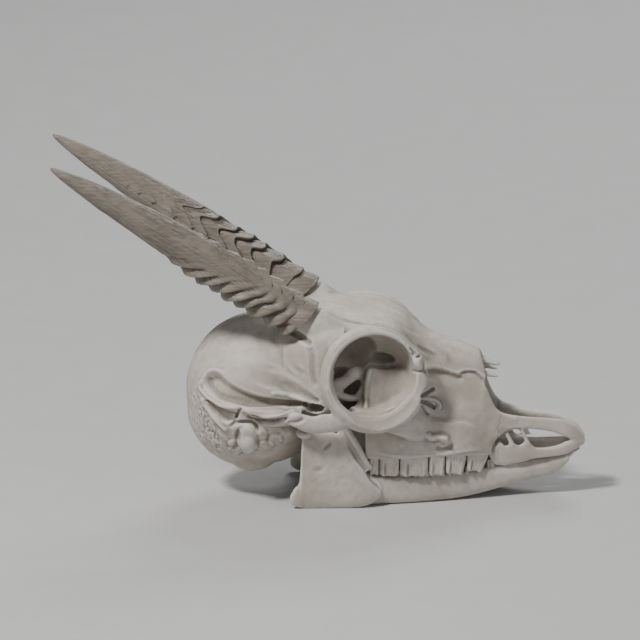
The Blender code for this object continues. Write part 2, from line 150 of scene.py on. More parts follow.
def loft(name, rows, sides=56, steps=8, power=3.0):
    """A body lofted along X. Each row: x, y, lower edge, upper edge, half width low down and high up."""
    rings = []
    for x, y, low, high, half_low, half_high in smooth_rows(rows, steps):
        ring = []
        for i in range(sides):
            a, b = superellipse(math.tau * (i + 0.5) / sides, power)
            half = half_low + (half_high - half_low) * (b + 1) / 2
            ring.append((x, y + a * half, low + (high - low) * (b + 1) / 2))
        rings.append(ring)
    return ring_mesh(name, rings)


def tube(name, rows, sides=28, steps=8, loop=False, up=UP, tip=False):
    """A rod along a curve. Each row: x, y, z, half width, half height; height lies along up."""
    path = smooth_rows(rows + rows[:1], steps)[:-1] if loop else smooth_rows(rows, steps)
    centres = [Vector(row[:3]) for row in path]
    rings = []
    for i, row in enumerate(path):
        if loop:
            ahead = centres[(i + 1) % len(path)] - centres[i - 1]
        else:
            ahead = centres[min(i + 1, len(path) - 1)] - centres[max(i - 1, 0)]
        side = ahead.cross(up).normalized()
        over = side.cross(ahead).normalized()
        shrink = 1.0
        if tip:
            shrink = math.sqrt(max(0.02, 1 - max(0.0, (i + 1) / len(path) * 4 - 3) ** 2))
        ring = []
        for k in range(sides):
            angle = math.tau * (k + 0.5) / sides
            wide = side * math.cos(angle) * row[3] * shrink
            ring.append(centres[i] + wide + over * math.sin(angle) * row[4] * shrink)
        rings.append(ring)
    return ring_mesh(name, rings, loop)


def ellipsoid(name, centre, radii, pitch=0.0, yaw=0.0, sides=48, rows=32):
    form = bmesh.new()
    bmesh.ops.create_uvsphere(form, u_segments=sides, v_segments=rows, radius=1.0)
    turn = Matrix.Rotation(math.radians(yaw), 4, "Z") @ Matrix.Rotation(math.radians(-pitch), 4, "Y")
    form.transform(Matrix.Translation(Vector(centre)) @ turn @ Matrix.Diagonal((*radii, 1.0)))
    return object_from(name, form)


def block(name, low, high):
    place = Matrix.Translation((Vector(low) + Vector(high)) / 2)
    form = bmesh.new()
    size = Matrix.Diagonal((*(Vector(high) - Vector(low)), 1.0))
    bmesh.ops.create_cube(form, size=1.0, matrix=place @ size)
    return object_from(name, form)


def mirrored(thing, name):
    form = form_of(thing.data)
    form.transform(Matrix.Diagonal((1, -1, 1, 1)))
    bmesh.ops.reverse_faces(form, faces=form.faces)
    return object_from(name, form)


def both_sides(pieces):
    return pieces + [mirrored(piece, piece.name + "_left") for piece in pieces]


def copied(thing, name):
    return add_object(name, thing.data.copy())


def settle(thing):
    """Applies the modifiers of an object."""
    bpy.context.view_layer.update()
    graph = bpy.context.evaluated_depsgraph_get()
    result = bpy.data.meshes.new_from_object(thing.evaluated_get(graph))
    thing.modifiers.clear()
    thing.data = result
    return thing


def boolean(target, pieces, operation):
    """Joins closed pieces to the target, or cuts them from it, and removes them."""
    group = bpy.data.collections.new("operands")
    bpy.context.scene.collection.children.link(group)
    for piece in pieces:
        group.objects.link(piece)
    modifier = target.modifiers.new(operation.lower(), "BOOLEAN")
    modifier.operand_type = "COLLECTION"
    modifier.collection = group
    modifier.operation = operation
    modifier.solver = "MANIFOLD"
    settle(target)
    for piece in pieces:
        bpy.data.objects.remove(piece, do_unlink=True)
    bpy.data.collections.remove(group)
    return target


def remeshed(thing):
    """The outer surface as an even net of small quads."""
    modifier = thing.modifiers.new("net", "REMESH")
    modifier.mode = "VOXEL"
    modifier.voxel_size = VOXEL
    modifier.adaptivity = 0.0
    return settle(thing)


def value_noise(points, size, seed=0):
    """Smooth random values from -1 to 1 in cells of the given size. size is one number or three."""
    place = np.asarray(points) / np.asarray(size, dtype=float)
    cell = np.floor(place).astype(np.int64)
    share = place - cell
    share = share * share * (3 - 2 * share)
    total = np.zeros(len(place))
    for corner in range(8):
        pick = np.array([(corner >> axis) & 1 for axis in range(3)])
        at = cell + pick
        mixed = (at[:, 0] * 73856093) ^ (at[:, 1] * 19349663) ^ (at[:, 2] * 83492791) ^ (seed * 2654435761)
        mixed = (mixed ^ (mixed >> 13)) * 1274126177
        value = ((mixed ^ (mixed >> 16)) & 0xFFFF) / 32767.5 - 1
        total += value * np.prod(np.where(pick == 1, share, 1 - share), axis=1)
    return total


def ramp(value, low, high):
    """0 below low, 1 above high and smooth between them."""
    share = np.clip((value - low) / (high - low), 0, 1)
    return share * share * (3 - 2 * share)


def band(value, start, full, fading, end):
    """1 from full to fading, 0 beyond start and end and smooth between them."""
    return ramp(value, start, full) * (1 - ramp(value, fading, end))


def bell(value, middle, width):
    return np.exp(-((value - middle) / width) ** 2)


def read_all(items, name, width=1, kind=np.int32):
    """One value of every item of a mesh, or a row of them where width is over 1."""
    values = np.zeros(len(items) * width, kind)
    items.foreach_get(name, values)
    return values.reshape(-1, width) if width > 1 else values


class Clay:
    """A closed net of quads that strokes push in and out."""

    def __init__(self, thing):
        self.thing = thing
        mesh = thing.data
        self.points = read_all(mesh.vertices, "co", 3, np.float32).astype(float)
        self.edges = read_all(mesh.edges, "vertices", 2)
        self.degree = np.bincount(self.edges.ravel(), minlength=len(self.points)).astype(float)
        corners = read_all(mesh.loops, "vertex_index")
        starts = read_all(mesh.polygons, "loop_start")
        last = np.where(read_all(mesh.polygons, "loop_total") == 4, 3, 2)
        self.faces = np.stack([corners[starts + np.minimum(k, last)] for k in range(4)], axis=1)
        self.refresh()

    def refresh(self):
        """Works out the normals and the height q of every point."""
        corner = self.points[self.faces]
        normal = np.cross(corner[:, 2] - corner[:, 0], corner[:, 3] - corner[:, 1])
        total = np.zeros_like(self.points)
        for k in range(4):
            for axis in range(3):
                total[:, axis] += np.bincount(self.faces[:, k], normal[:, axis], len(self.points))
        self.normals = total / np.maximum(np.linalg.norm(total, axis=1), 1e-12)[:, None]
        side = np.where(self.points[:, 1] > 0, 1.0, -1.0)
        down = math.sin(VIEW_TILT)
        level = math.cos(VIEW_TILT)
        self.out = np.abs(self.points[:, 1])
        self.q = self.points[:, 2] * level - self.out * down
        self.facing = self.normals[:, 1] * side * level + self.normals[:, 2] * down

    def averaged(self, values):
        """Each point's mean of its neighbours' values."""
        total = np.zeros_like(values)
        for one, other in (self.edges.T, self.edges.T[::-1]):
            for axis in range(values.shape[1]):
                total[:, axis] += np.bincount(one, values[other, axis], len(values))
        return total / self.degree[:, None]

    def smooth(self, rounds):
        for _ in range(rounds):
            self.points += (self.averaged(self.points) - self.points) * 0.5
        self.refresh()

    def fill_creases(self, rounds):
        """Fills inner corners with a soft web and leaves outer corners as they are."""
        before = self.points.copy()
        for _ in range(rounds):
            self.points += (self.averaged(self.points) - self.points) * 0.5
        rise = np.einsum("ij,ij->i", self.points - before, self.normals)
        self.points = before + self.normals * np.maximum(rise, 0)[:, None]
        self.refresh()

    def mask(self, inner=0.0, outer=99.0, facing=0.12):
        """1 on the skin that faces the side, between two distances from the middle plane."""
        reach = band(self.out, inner - 0.4, inner + 0.4, outer - 0.4, outer + 0.4)
        return ramp(self.facing, facing, facing + 0.3) * reach

    def reach(self, path):
        """Distance to a path in x and q, which side of it a point is on, and the share of its length."""
        path = np.asarray(smooth_rows(path, 4) if len(path) > 2 else path, dtype=float)
        place = np.stack([self.points[:, 0], self.q], axis=1)
        best = np.full(len(place), 1e9)
        sign = np.ones(len(place))
        along = np.zeros(len(place))
        lengths = np.linalg.norm(np.diff(path, axis=0), axis=1)
        done = 0.0
        for a, b, length in zip(path, path[1:], lengths):
            ahead = (b - a) / length
            offset = place - a
            t = np.clip(offset @ ahead, 0, length)
            distance = np.hypot(*(offset - t[:, None] * ahead).T)
            closer = distance < best
            best = np.where(closer, distance, best)
            cross = ahead[0] * offset[:, 1] - ahead[1] * offset[:, 0]
            sign = np.where(closer, np.sign(cross), sign)
            along = np.where(closer, (done + t) / lengths.sum(), along)
            done += length
        return best, sign, along

    def push(self, amount):
        self.points += self.normals * amount[:, None]

    def grain(self):
        self.push(value_noise(self.points, 2.6, 1) * 0.05 + value_noise(self.points, 0.9, 2) * 0.02)

    def stroke(self, path, radius, height, ends=0.15, **limits):
        """Raises, or with a negative height carves, a rounded line along the path."""
        distance, _, along = self.reach(path)
        shape = np.clip(1 - (distance / radius) ** 2, 0, 1) ** 2
        if ends:
            shape *= band(along, -0.01, ends, 1 - ends, 1.01)
        self.push(shape * height * self.mask(**limits))

    def step(self, path, radius, height, edge=0.3, ends=0.12, **limits):
        """Raises the skin on the left of the path and sinks it on the right, with a sharp edge between."""
        distance, sign, along = self.reach(path)
        shape = bell(distance, 0, radius) * np.clip(distance * sign / edge, -1, 1)
        self.push(shape * band(along, -0.01, ends, 1 - ends, 1.01) * height * self.mask(**limits))

    def hollow(self, path, depth, hard=0.72, soft=0.3, fade=0.0, **limits):
        """Sinks a channel with a level floor. Path rows: x, q and half width. The left bank is soft."""
        rows = np.array(smooth_rows(path, 4))
        distance, sign, along = self.reach([row[:2] for row in path])
        lengths = np.append(0.0, np.hypot(*np.diff(rows[:, :2], axis=0).T).cumsum())
        share = distance / np.interp(along * lengths[-1], lengths, rows[:, 2])
        bank = np.where(sign > 0, 1 - ramp(share, soft, 1.25), 1 - ramp(share, hard, 1.05))
        if fade:
            bank = bank * ramp(along, 0.0, fade)
        self.push(-depth * bank * self.mask(**limits))

    def dent(self, x, q, long, wide, angle, height, power=2.0, **limits):
        """Raises or sinks an oval patch, turned by angle degrees."""
        turn = math.radians(angle)
        dx = self.points[:, 0] - x
        dq = self.q - q
        a = (dx * math.cos(turn) + dq * math.sin(turn)) / long
        b = (-dx * math.sin(turn) + dq * math.cos(turn)) / wide
        shape = np.clip(1 - (a * a + b * b), 0, 1) ** power
        self.push(shape * height * self.mask(**limits))

    def write(self):
        """Puts the points back, with how hollow or proud each one is for the materials."""
        self.refresh()
        mesh = self.thing.data
        mean = self.points
        for name, rounds in (("fine_hollow", 4), ("broad_hollow", 30)):
            for _ in range(int(round(rounds * ROUNDS))):
                mean = self.averaged(mean)
            depth = np.einsum("ij,ij->i", mean - self.points, self.normals)
            layer = mesh.attributes.new(name, "FLOAT", "POINT")
            layer.data.foreach_set("value", depth.astype(np.float32))
        mesh.vertices.foreach_set("co", self.points.astype(np.float32).ravel())
        mesh.update()
        return self.thing


def keep_largest(thing):
    """Drops every closed surface of the mesh but the one with the most corners."""
    one, other = read_all(thing.data.edges, "vertices", 2).T
    label = np.arange(len(thing.data.vertices))
    while True:
        low = np.minimum(label[one], label[other])
        new = label.copy()
        np.minimum.at(new, one, low)
        np.minimum.at(new, other, low)
        new = new[new]
        if np.array_equal(new, label):
            break
        label = new
    scrap = np.nonzero(label != np.bincount(label).argmax())[0]
    if len(scrap):
        form = form_of(thing.data)
        form.verts.ensure_lookup_table()
        bmesh.ops.delete(form, geom=[form.verts[i] for i in scrap], context="VERTS")
        form.to_mesh(thing.data)
        form.free()
    return thing


def joined(name, pieces):
    """Several closed pieces as one object."""
    form = bmesh.new()
    for piece in pieces:
        form.from_mesh(piece.data)
        bpy.data.objects.remove(piece, do_unlink=True)
    return object_from(name, form)


def finish_piece(thing, name, material, slot, *replaced):
    """Turns a piece to metres, names it, gives it its material and smooth shading, sets it under the root and
    hides the parts it replaces.
    """
    thing.name = name
    thing.data.name = name
    thing.data.transform(Matrix.Scale(0.001, 4))
    thing.data.materials.clear()
    thing.data.materials.append(material)
    thing.data.shade_smooth()
    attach(thing, "root")
    if replaced:
        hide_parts(*replaced)


# The skull's forms

def tooth_line(x):
    """Y of the middle of the right upper tooth row."""
    places = (14, 20, 26.5, 33, 38.5, 44.5, 48)
    return float(np.interp(x, places, (-14.1, -14, -13.4, -12.3, -11, -8.9, -7.3)))


def orbit_plane_y(x, z):
    return ORBIT_CENTRE.y + (x - ORBIT_CENTRE.x) * ORBIT_TURN + (z - ORBIT_CENTRE.z) * ORBIT_TILT


def orbit_rim():
    """The ring of bone round the right eye socket."""
    rows = []
    spans = 18
    for i in range(spans):
        angle = math.tau * i / spans
        shelf = max(0.0, math.cos(angle + math.radians(56))) ** 0.8
        slim = 0.45 * max(0.0, math.cos(angle - math.radians(48))) ** 2
        radius = ORBIT_RADIUS + 0.9 * shelf - slim
        x = ORBIT_CENTRE.x + radius * math.cos(angle)
        z = ORBIT_CENTRE.z + radius * math.sin(angle)
        half = 1.5 + 0.4 * max(0.0, -math.cos(angle)) + 1.1 * shelf - slim
        rows.append((x, orbit_plane_y(x, z) + 0.3 * shelf, z, half, 1.7))
    return tube("orbit_rim", rows, steps=10, loop=True, up=-LEFTWARD)


def middle_forms():
    """The forms of the skull that lie across its middle."""
    return [
        ellipsoid("braincase", BRAINCASE_CENTRE, BRAINCASE_RADII, sides=96, rows=64),
        loft("forehead", [
            (-18, 0, 33, 46.5, 12, 8), (-12, 0, 34, 50.6, 17, 13), (-4, 0, 35, 54.4, 19.4, 16.4),
            (3, 0, 36, 55.5, 18.8, 16.6), (12, 0, 36, 54.3, 18.4, 18), (19, 0, 36, 53.5, 17.4, 17),
            (24, 0, 35, 51.4, 14.8, 13.4), (28.5, 0, 34, 47.6, 12.2, 10.6), (36, 0, 33, 43.2, 9.8, 7.8),
        ], sides=80, power=3.4),
        loft("rostrum", [
            (2, 0, 19, 44, 8, 8), (8, 0, 16, 46, 10, 9), (14, 0, 13.4, 47, 15, 10),
            (24, 0, 13.2, 47, 15.2, 11), (34, 0, 12.6, 43.8, 13.6, 9), (43, 0, 12, 40.4, 11.8, 7.4),
            (46.6, 0, 11.2, 38.6, 10.4, 6.9),
        ], sides=80, power=3.8),
        ellipsoid("nape", (-20.2, 0, 24.8), (17, 16, 17.2), sides=72, rows=48),
        loft("occiput", [
            (-32.4, 0, 16.8, 25, 6.5, 8.5), (-29.6, 0, 13.2, 24.5, 9, 12), (-26, 0, 10.9, 24.5, 11, 14),
            (-22, 0, 10, 24.5, 12, 14), (-18, 0, 10.8, 25.5, 11.5, 14), (-10, 0, 14.5, 26.5, 8.5, 10),
            (-2, 0, 16.5, 26.5, 6.5, 7.5), (9, 0, 16.5, 27, 6.4, 7),
        ], sides=64, power=2.4),
        loft("nasals", [
            (22, 0, 47, 51.4, 3, 2.6), (26.5, 0, 44.4, 49.6, 4.6, 3.2), (30, 0, 42.2, 47.4, 6, 4),
            (34, 0, 39.8, 45.5, 7.4, 5), (38, 0, 38, 43.9, 8.2, 5.4), (43, 0, 36.2, 41.9, 8, 5),
            (46.6, 0, 34.8, 40.3, 6.8, 4.2),
        ], sides=56, power=2.8),
    ]


def nasal_tips():
    """The finger-like front ends of the right nasal bone."""
    return [
        tube("nasal_tip_inner", [(44, -1.2, 39, 1.2, 0.9), (48.2, -1.1, 37.6, 0.9, 0.6),
                                 (51.2, -0.9, 36.9, 0.5, 0.4)], sides=20, tip=True),
        tube("nasal_tip_outer", [(43.6, -4.8, 36.4, 1, 1), (47.8, -4.4, 35, 0.8, 0.7),
                                 (50.5, -4.2, 34.4, 0.5, 0.4)], sides=20, tip=True),
    ]


def side_forms():
    """The forms of the skull's right side."""
    return [
        orbit_rim(),
        ellipsoid("orbit_wall", (14, -13.5, 38.8), (15, 8.6, 14.4), sides=72, rows=48),
        loft("postorbital", [
            (-10, -14.6, 31, 46, 4.5, 3), (-4, -17, 28, 50, 4.4, 3.4), (2, -18.2, 27, 51.6, 4.2, 3.4),
            (7, -17.6, 28, 52, 3.6, 3.2),
        ]),
        loft("lacrimal", [
            (14, -13, 27, 50, 7, 4), (22, -12.6, 25.5, 50, 7.4, 4.6), (27, -11.4, 25, 46.5, 6.8, 3.6),
            (32, -8.4, 25, 42, 5, 2.4), (38, -5.4, 27, 39, 4, 1.6),
        ]),
        loft("cheek", [
            (9, -20.4, 24.6, 28.2, 2, 2), (16, -18.4, 23, 27.8, 3.6, 3.8), (22, -16.4, 20.8, 28, 4, 4.2),
            (28, -13.2, 18, 27, 3.2, 3.6), (34.5, -10.6, 16.8, 22, 1.6, 1.4),
        ]),
        loft("tooth_bed", [
            (12.8, -14.2, 13.4, 24, 2.4, 2), (15, -14.2, 13.2, 24, 2.7, 2), (24, -13.6, 13.2, 24, 2.9, 2),
            (33, -12, 13.4, 24, 2.6, 2), (42, -10.4, 13.2, 23, 2.3, 1.6), (48.6, -8.2, 12.6, 18, 0.8, 0.6),
        ], power=5.0),
        tube("arch", [
            (14, -20.4, 26.4, 1.8, 2), (8, -22.6, 26.6, 1.4, 2.4), (3, -23.6, 26, 1.3, 2.8),
            (-3, -23.8, 25.9, 1.3, 2.6), (-8, -23.2, 27.4, 1.6, 1.9), (-14, -21.4, 28.6, 2.4, 1.5),
            (-20, -19, 29.2, 2.6, 1.2), (-24.5, -16.6, 29, 1.6, 1.2),
        ]),
        loft("jaw_socket", [
            (-19, -15.4, 24.4, 29.6, 3.5, 3.5), (-14, -17, 24, 29.4, 5.4, 5.4),
            (-9, -17.6, 24.4, 29, 5.4, 5.4), (-5, -16.4, 25.2, 29, 4.4, 4.4),
        ]),
        tube("temporal_ridge", [
            (-29.5, -12.6, 37.4, 0.7, 0.7), (-33.2, -10.6, 33.6, 0.9, 0.9), (-32.4, -12.6, 30.4, 1, 1),
            (-27.6, -16.6, 29.8, 1, 1), (-21, -19.4, 30.4, 0.9, 0.9),
        ]),
        tube("mastoid_ridge", [
            (-33, -11, 31, 0.7, 0.7), (-31.4, -12.4, 26, 1, 1), (-28.6, -13.8, 21.8, 1.1, 1.1),
            (-25.6, -14.4, 19, 0.9, 0.9),
        ]),
        ellipsoid("condyle", (-18.4, -5.6, 10.8), (6.2, 4.6, 3.3), pitch=6),
        ellipsoid("ear_bulb", (-19.8, -15, 19.6), (2.6, 3.6, 4.2)),
        ellipsoid("ear_bulb_front", (-14.8, -13.4, 17.6), (2.3, 3, 2.2)),
        ellipsoid("ear_bulb_inner", (-12, -12.4, 19.6), (2.8, 4, 2.8)),
        ellipsoid("squamosal", (-12, -15, 22.4), (5.6, 3.6, 3)),
        ellipsoid("face_knob", (33.2, -12.4, 18.2), (3, 2.2, 1.9)),
        tube("horn_core", [
            (6, -13.2, 46.4, 6.6, 6.4), (0.5, -14.1, 50.6, 5.5, 5.8), (-2.6, -14.3, 52.5, 4.9, 5.2),
            (-4.6, -14.5, 53.8, 4, 4.4), (-8.5, -14.7, 56.4, 3.4, 3.6),
        ]),
    ]


def snout_forms():
    """The forms of the right premaxilla."""
    return [
        loft("premaxilla_wall", [
            (41, -7.2, 12.8, 34.6, 3.9, 0.8), (45.6, -7.2, 12.7, 33.8, 3.2, 1),
            (47, -7.1, 12.8, 32, 2.6, 1), (48, -7.1, 13, 29.4, 2.1, 1), (48.8, -7, 15, 27.6, 1.7, 1),
            (49.8, -6.9, 16.8, 25.9, 1.5, 0.9), (51.3, -6.6, 18.2, 24.6, 1.3, 0.9),
            (53.2, -6.2, 19.1, 23.8, 1.2, 0.8), (55.6, -5.7, 19.6, 23, 1, 0.8),
        ], power=4.0),
        tube("premaxilla_bar", [
            (50.6, -6.6, 22.2, 1, 2.4), (54.2, -5.8, 21.4, 1, 2.2), (60, -4.7, 20.9, 1.1, 1.8),
            (66.5, -4, 20, 1.2, 2.1), (70, -3.4, 18.6, 1.3, 2.3), (72.6, -2.7, 16.7, 1.3, 2),
            (74.9, -1.9, 14.9, 1.1, 1.2),
        ], up=Vector((0.0, 0.6, 1.0)), tip=True),
        loft("premaxilla_plate", [
            (47.8, -7.3, 11.8, 13.6, 0.6, 0.5), (49.4, -7, 9.4, 15.2, 1, 0.7),
            (50.8, -6.7, 9.1, 16.2, 1.1, 0.7), (52.4, -6.5, 9, 14.8, 1.1, 0.7),
            (54.4, -6.2, 9.3, 15.6, 1.1, 0.7), (56.2, -6, 9.7, 14.8, 1.1, 0.7),
            (58.6, -5.7, 10.2, 16.2, 1.1, 0.7), (61, -5.3, 10.7, 14, 1.1, 0.7),
            (66, -4.7, 11.2, 14.2, 1.2, 0.8), (69.6, -4, 11.7, 15.4, 1.4, 1.1),
            (72.4, -3.1, 13, 16.4, 1.5, 1.3), (74.8, -2.1, 14.2, 16, 1.1, 0.9),
        ]),
        tube("premaxilla_post_rear", [(54.4, -6.3, 14.8, 0.9, 0.8), (53.5, -6.3, 16.8, 0.75, 0.6),
                                      (52.3, -6.4, 19, 0.9, 0.7)], sides=20),
        tube("premaxilla_post_front", [(58.8, -5.7, 15, 0.9, 0.8), (58, -5.7, 17, 0.75, 0.6),
                                       (56.8, -5.6, 19.6, 0.9, 0.7)], sides=20),
        loft("premaxilla_inner", [
            (44, -1.25, 14, 16.6, 1.1, 0.8), (52, -1.25, 13.4, 16.4, 1.1, 0.8),
            (60, -1.25, 12.8, 15.9, 1.1, 0.8), (66, -1.35, 12.6, 16, 1.2, 0.9),
            (71.5, -1.9, 13.2, 16.4, 1.5, 1.2),
        ], sides=32),
    ]


def skull_hollows():
    """What is cut from the skull: eye sockets, nose, palate, throat and spinal opening."""
    paired = [
        ellipsoid("socket", (15.2, -22.4, 39.3), (11.7, 14.2, 11.6), sides=72, rows=48),
        ellipsoid("socket_shelf", (17.6, -25.4, 36.4), (13.4, 5.6, 13.2), yaw=12, sides=72, rows=48),
        ellipsoid("socket_roof", (9.6, -13.5, 43), (7.4, 9.5, 6.4)),
        ellipsoid("socket_rear", (7, -14, 34), (5, 8, 6.6)),
        ellipsoid("socket_window", (16.6, -9, 40.9), (5, 3, 1.8)),
        tube("temporal_passage", [
            (7, -17, 35, 2.4, 3), (3, -18.6, 31.4, 2.2, 2), (-1.8, -20.2, 29.6, 2, 1.5),
            (-6, -22.4, 30.2, 1.6, 1), (-9.5, -23.6, 31.4, 1.4, 0.8),
        ]),
        ellipsoid("temporal_slot", (-1.7, -21.4, 29.4), (2.5, 5, 1.5)),
        ellipsoid("face_hollow", (38, -16.2, 30), (12, 6.6, 8), pitch=-12, sides=64, rows=40),
    ]
    middle = [
        loft("nose", [
            (33, 0, 24, 34, 2.6, 2.6), (39, 0, 19.5, 38.4, 5.6, 4.4), (43, 0, 17.4, 39.4, 6.4, 4.2),
            (46.6, 0, 16, 38.6, 6.7, 4), (60, 0, 14, 35.6, 5, 3.6),
        ]),
        loft("palate", [
            (6, 0, 4, 16, 7, 6), (14, 0, 4, 16.6, 11.6, 9.6), (25, 0, 4, 15.8, 11.2, 9.4),
            (35, 0, 4, 15.2, 9.8, 8), (43, 0, 4, 14.6, 8.2, 7.2), (49, 0, 4, 14.4, 6.2, 6),
            (54, 0, 4, 13, 4.6, 4.6),
        ]),
        loft("throat", [
            (-9, 0, 8, 18, 3.2, 3.2), (0, 0, 10, 22, 4.4, 4), (8, 0, 12, 23, 4.4, 4),
            (18, 0, 17.6, 22.4, 3.8, 3.6),
        ]),
        tube("spinal_opening", [(-31, 0, 5, 4, 4.2), (-22, 0, 18, 4, 4.2)], steps=4),
    ]
    return both_sides(paired) + middle


def nose_front():
    """A leaning block that ends the maxillae and the nasal cavity's walls at the nose opening."""
    cutter = block("nose_front", (0, -40, 2), (60, 40, 60))
    turn = Matrix.Rotation(math.radians(-19.0), 4, "Y")
    cutter.data.transform(Matrix.Translation(Vector((48.8, 0, 30.3))) @ turn)
    return cutter


def carve_braincase(clay):
    temple(clay)
    ear(clay)
    clay.stroke([(-8.6, 45), (-5.5, 43.5), (-2.1, 41)], 1.3, -1.1, inner=10)
    clay.stroke([(-3.2, 41.5), (-2.1, 38.1), (-1.8, 33.3), (-1, 28.8)], 1.5, -0.5, inner=14)


def temple(clay):
    """The temporal hollow, its rim and the wrinkles above it."""
    clay.hollow([(-22, 33, 1.6), (-15.1, 31.4, 2.2), (-9.2, 29.5, 2.2), (-4.8, 27.3, 1.8), (-0.8, 25.2, 1)],
                1.0, hard=0.3, soft=0.0, fade=0.5, inner=12)
    clay.hollow([(-29.8, 30.4, 2.9), (-27.6, 28.4, 3), (-24.4, 26.9, 2.5), (-20.6, 25.8, 2),
                 (-16.5, 25.1, 1.4), (-11, 24.8, 1), (-6, 24.4, 0.8), (-3.4, 24.2, 0.6)],
                2.0, hard=0.7, soft=0.4, inner=10)
    clay.stroke([(-13.8, 27.5), (-11, 27.4), (-8.3, 26.9), (-5, 25.9), (-2.7, 25)], 1, 0.6, inner=12)
    clay.dent(-13, 27.4, 1.2, 0.9, 0, 0.3, inner=12)
    clay.dent(-9.8, 27.2, 1.2, 0.9, 0, 0.3, inner=12)
    clay.stroke([(-32.6, 31.8), (-33.6, 29.5), (-32.5, 27.5), (-29.9, 25.1), (-26.4, 23.7), (-23.4, 23.4),
                 (-21.7, 23.6)], 0.8, 0.75, ends=0.08, inner=6, facing=0)
    clay.stroke([(-33, 31), (-31.5, 33.3), (-29, 34), (-26.4, 32.6)], 0.9, 0.35, inner=6)
    for path in (((-11.4, 36.4), (-8.4, 33), (-4.8, 30.6)), ((-8, 36), (-5.4, 33.6), (-3, 32.6)),
                 ((-17.4, 35), (-13, 34.4), (-10, 32.6))):
        clay.stroke(path, 1.3, -0.2, ends=0.5, inner=12)
        clay.stroke([(x + 0.9, q + 0.9) for x, q in path], 1.0, 0.14, ends=0.5, inner=12)


def ear(clay):
    """The second ridge, the shelf behind the arch and the lumps round the ear opening."""
    clay.hollow([(-31.8, 25.2, 0.5), (-29, 22.6, 1.3), (-26.4, 20.9, 1.8), (-24.6, 20.6, 1.6)], 1.2,
                hard=0.6, soft=0.6, inner=8)
    clay.stroke([(-33.4, 26.6), (-30.8, 22.1), (-28.2, 19.1), (-25.6, 16.7)], 0.75, 0.8, ends=0.1, inner=6,
                facing=0.0)
    clay.stroke([(-22, 23.4), (-22.9, 22), (-23.5, 19.8)], 0.7, -1.1, ends=0.1, inner=8)
    clay.stroke([(-25.2, 17.6), (-24.2, 18.8), (-20.8, 19.3), (-18.2, 18.5), (-17, 16.6)], 0.8, -1.4, inner=6)
    clay.dent(-20.3, 14.5, 4, 2.9, 96, 1.3, power=0.6, inner=6)
    clay.dent(-23, 15.8, 1.8, 1.1, 80, -0.9, power=1, inner=6)
    clay.stroke([(-20.8, 21.3), (-18.6, 20), (-15.2, 19.4), (-11.3, 19.7), (-8.3, 20.8)], 1, -1.5, inner=10)
    clay.stroke([(-20.8, 22.4), (-18.6, 21.4), (-15.2, 21), (-11.3, 21.2), (-8.3, 22.2), (-5.6, 22.8)],
                0.6, 0.7, inner=12)
    lumps = (
        (-13.2, 17.2, 3.4, 1.8, -14, 0.5), (-16.4, 16.2, 2.6, 1.8, 100, 0.7), (-8.6, 15.6, 3.1, 2.2, 10, 0.6),
        (-12.4, 14.7, 2.2, 1.9, 0, 0.9), (-15.4, 13, 2.9, 1.6, 8, 0.9), (-24.8, 13.6, 1.2, 1, 0, 0.7),
        (-23.2, 11.4, 1.6, 1.2, 20, 0.8), (-24.9, 12, 0.9, 0.8, 0, 0.5),
    )
    for x, q, long, wide, turn, height in lumps:
        clay.dent(x, q, long, wide, turn, height, power=0.8, inner=4)
    clay.stroke([(-9.6, 19.2), (-6.5, 19.4), (-4.2, 20.8)], 1, -0.5, inner=12)
    clay.dent(-6.6, 21.2, 2.8, 1.4, -10, 0.6, inner=14)


def carve_nape(clay):
    """Pitted streaks where the neck muscles held, behind the mastoid ridge."""
    edge = [(-33.8, 31.0), (-33.4, 27.4), (-32.0, 24.6), (-29.8, 20.2), (-27.6, 17.0), (-27.2, 8.0)]
    distance, sign, _ = clay.reach(edge)
    behind = ramp(-distance * sign, 0.2, 1.4)
    centre = np.array(BRAINCASE_CENTRE)
    angle = np.arctan2(clay.points[:, 2] - centre[2], clay.points[:, 0] - centre[0])
    arc = np.mod(angle, math.tau) * 21.0
    place = np.stack([arc + clay.out * 0.3, clay.out, np.zeros(len(arc))], axis=1)
    streaks = value_noise(place, (1.1, 0.7, 1.0), 5) + 0.8 * value_noise(place, (0.8, 0.55, 1.0), 9)
    low = ramp(-clay.points[:, 2], -36.0, -28.0)
    rear = ramp(-clay.normals[:, 0], -0.1, 0.2)
    strong = 0.12 + 0.18 * ramp(clay.out, 3.0, 11.0)
    clay.push(-strong * ramp(streaks, -0.3, 0.4) * behind * low * rear)
    crest = bell(clay.out, 0, 1.1) * ramp(clay.points[:, 2], 15.0, 20.0)
    clay.push(0.22 * crest * behind * ramp(-clay.points[:, 2], -40.0, -32.0) * rear)


